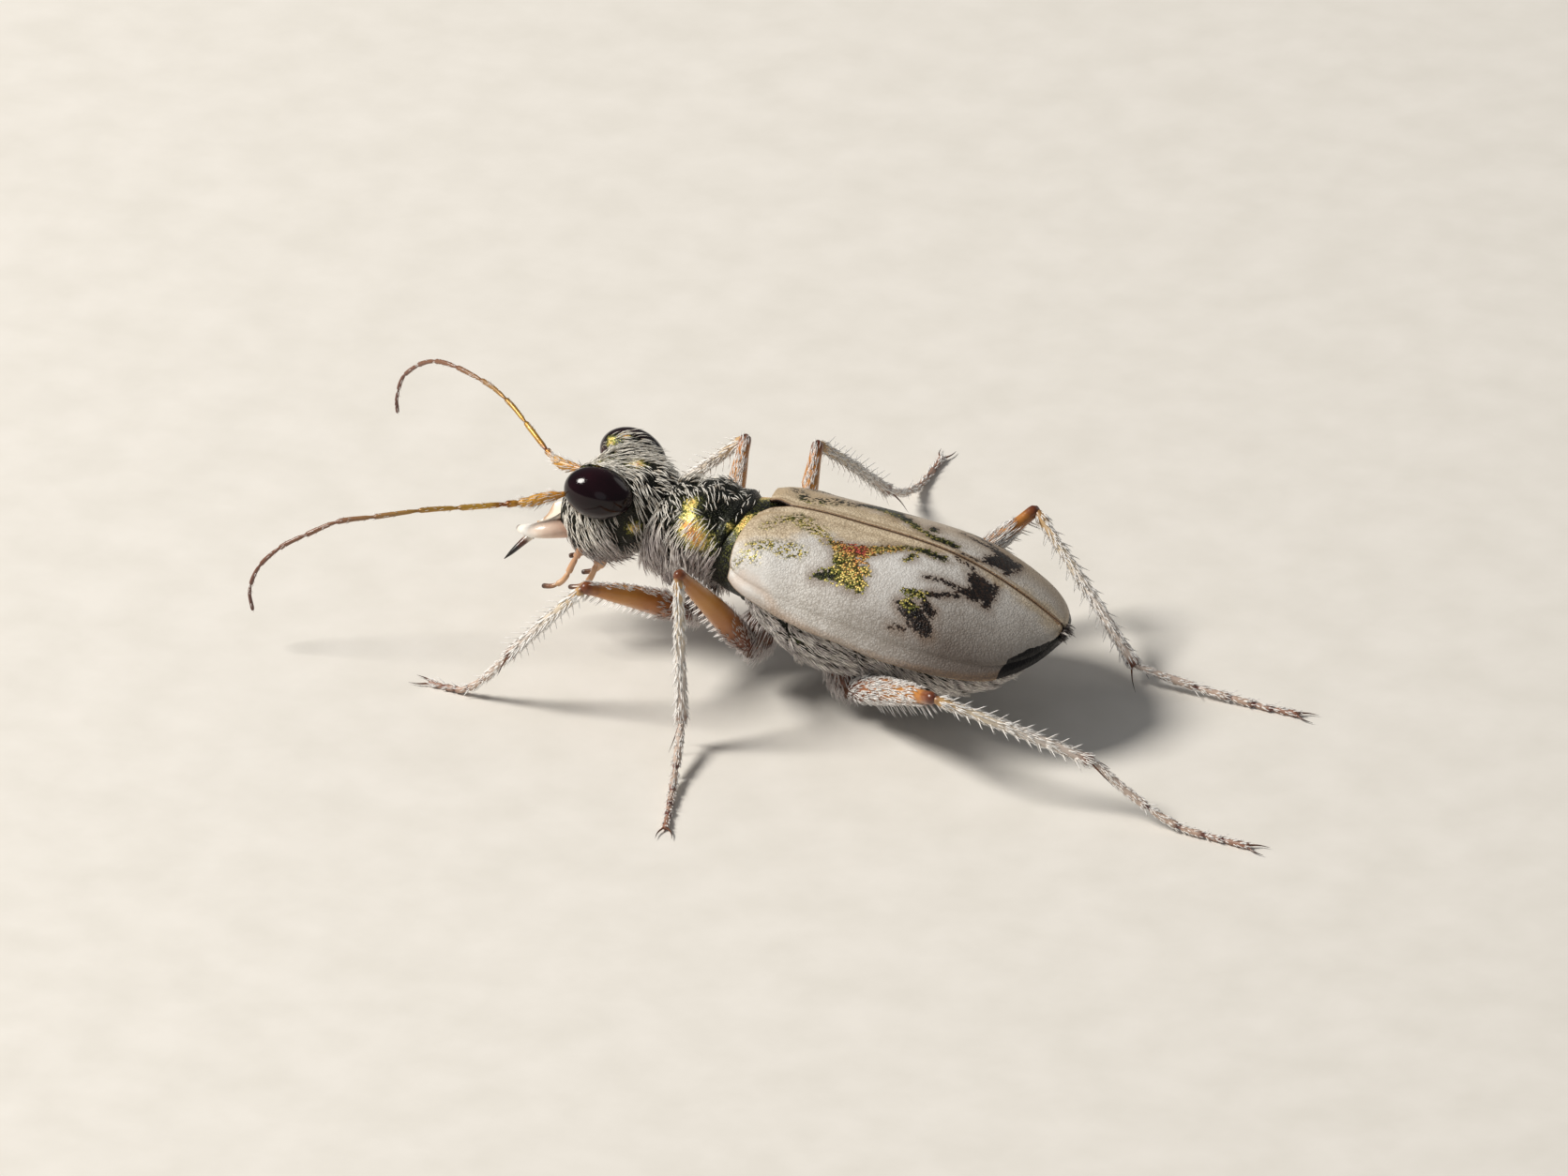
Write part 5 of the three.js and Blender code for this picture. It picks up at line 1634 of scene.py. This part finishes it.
def trunk_rule(point, normal, along, t):
    if not 0.02 < point.x < 5.0 or point.z > case_margin(point.x) + 0.02:
        return None
    thin_below = 0.30 + 0.70 * smooth(abs(point.y), 0.25, 0.75)
    if draw.random() < bare(point) or draw.random() > thin_below:
        return None
    side = math.copysign(1, point.y)
    hanging = smooth(-point.z, 1.9, 2.4) * (1 - smooth(point.x, 2.2, 3.0))
    flow = Vector((1.0, 0.10 * side, -0.30 - 0.7 * hanging)) + jitter(0.20)
    start = lying(flow, normal, math.radians(draw.uniform(6, 20) + 10 * hanging))
    length = draw.uniform(0.16, 0.28) + 0.10 * hanging
    # the tone greys these hairs by a random share of painted shade
    girth, tone = draw.uniform(0.010, 0.0135), draw.uniform(0.25, 0.85)
    return start, DOWN * 0.06 - normal * 0.12, length, girth, tone


coat = Coat()
grow(coat, trunk_point, 620, trunk_rule, whole_map)
tail = Vector((5.60, 0, -1.38))
tail_hairs = 90
for _ in range(tail_hairs):
    shift = (draw.uniform(-0.08, 0.02), draw.uniform(-0.20, 0.20), draw.uniform(-0.10, 0.06))
    root = tail + Vector(shift)
    start = Vector((1, root.y, -0.2)) + jitter(0.25)
    length, tone = draw.uniform(0.10, 0.17), draw.choice((0.4, 1.9, 1.9))
    coat.hair(root, start, DOWN * 0.2, length, 0.012, tone, (0.5 + root.y / 2, 0.985))
dressed(coat.mesh("trunk_hair", trunk_tilt), "trunk_hair", silver_hair, "pale_hair")

# %% [markdown]
# ## Hair on the legs and feelers
# Shins and feet look white because stout pointed hairs slant off them like barbs from a
# feather, with stiff spines standing clear above and below. Thighs are amber with hair lying
# along the top and a comb of white bristles below, and the hind thighs are nearly white. Every
# leg gets its own strip of the texture map.

# %% Grow the hair of legs and feelers
def on_top(normal, t):
    return smooth(normal.z, 0.45, 0.8)


def near_hip(normal, t):
    return 1 - smooth(t, 0.15, 0.42)


def barbs(coat, shape, box, density, lift, length, girth, tone, low, high, where=None):
    """Grows slanting hairs on a limb from low to high; lift is in degrees."""
    def rule(point, normal, along, t):
        if where is not None and draw.random() > where(normal, t):
            return None
        start = lying(along + jitter(0.14), normal, math.radians(draw.uniform(*lift)))
        hair_tone = tone + draw.uniform(-0.2, 0.2)
        bend = jitter(0.03) - normal * 0.08
        return start, bend, draw.uniform(*length), draw.uniform(*girth), hair_tone
    grow(coat, shape, density, rule, box, low, high)


def comb(coat, path, radius, places, direction, length, girth, box, slant=0.55):
    """A row of stiff bristles along a limb, leaning towards its end."""
    for t in places:
        centre, along = path.at(t)[:2]
        out = (direction - along * direction.dot(along)).normalized()
        start = out * 0.8 + along * slant + jitter(0.10)
        u0, v0, u1, v1 = box
        patch = ((u0 + u1) / 2, v0 + (v1 - v0) * t)
        root = centre + out * radius(t) * 0.9
        coat.hair(root, start, along * 0.12, draw.uniform(*length), girth, 0.0, patch)


coats = {"left": Coat(), "right": Coat()}
for number, (leg, shapes) in enumerate(leg_shapes.items()):
    pair, name = leg.split("_")
    coat = coats[name]
    paths = leg_paths[leg]
    strip = 0.32 * (number % 3)
    boxes = {part: (0.02 + strip + 0.075 * k, 0.02, 0.08 + strip + 0.075 * k, 0.98)
             for k, part in enumerate(("hip", "thigh", "shin", "foot"))}
    far = Vector((0, sides[name], 0))
    # part, hairs on a square millimetre, lift, length, girth, tone, from, to and where
    hip_fur = ["hip", 260, (15, 35), (0.22, 0.34), (0.009, 0.012), 0.8, 0.25, 0.99]
    if pair == "hind":
        furs = [hip_fur,
                ["thigh", 440, (8, 20), (0.24, 0.34), (0.0085, 0.0115), 0.0, 0.03, 0.80]]
    else:
        furs = [hip_fur,
                ["thigh", 420, (8, 20), (0.14, 0.22), (0.009, 0.012), 0.0, 0.05, 0.95, on_top],
                ["thigh", 300, (14, 30), (0.18, 0.28), (0.008, 0.011), 0.9, 0.05, 0.42, near_hip]]
    furs += [["shin", 280, (12, 26), (0.14, 0.20), (0.012, 0.016), -0.1, 0.03, 0.99],
             ["foot", 340, (12, 28), (0.10, 0.14), (0.010, 0.013), -0.1, 0.01, 0.99]]
    for part, *settings in furs:
        barbs(coat, shapes[part], boxes[part], *settings)
    pairs = [0.22 + 0.062 * i + step for i in range(12) for step in (0, 0.014)]
    hanging = (0.24, 0.36) if pair == "hind" else (0.16, 0.22)
    comb(coat, paths["thigh"], thigh_girth, pairs, DOWN - far * 0.2, hanging, 0.018, boxes["thigh"],
         0.35)
    above = [0.3 + 0.06 * i for i in range(10)]
    comb(coat, paths["thigh"], thigh_girth, above, UP, (0.10, 0.14), 0.014, boxes["thigh"])
    for k, way in enumerate((UP, DOWN, far, -far)):
        row = [0.10 + 0.075 * i + 0.02 * k for i in range(11)]
        comb(coat, paths["shin"], shin_girth, row, way + jitter(0.4), (0.20, 0.29), 0.0145,
             boxes["shin"])
    for end in foot_ends[1:-1]:
        for way in (far + DOWN * 0.6, -far + DOWN * 0.6, UP):
            comb(coat, paths["foot"], lambda t: 0.05, [end - 0.012], way, (0.16, 0.24), 0.012,
                 boxes["foot"], 0.9)
for name in sides:
    coat = coats[name]
    box = (0.975, 0.02, 0.995, 0.98)
    barbs(coat, feelers[name], box, 260, (18, 40), (0.12, 0.20), (0.007, 0.009), 0.0, 0.0, 0.13)
    barbs(coat, feelers[name], box, 150, (20, 40), (0.06, 0.10), (0.005, 0.007), 0.3, 0.13, 1.0)
    dressed(coat.mesh("leg_hair_" + name), "leg_hair_" + name, warm_hair, "pale_hair")

# %% Count the pieces and finish
print(len(pieces), "pieces")
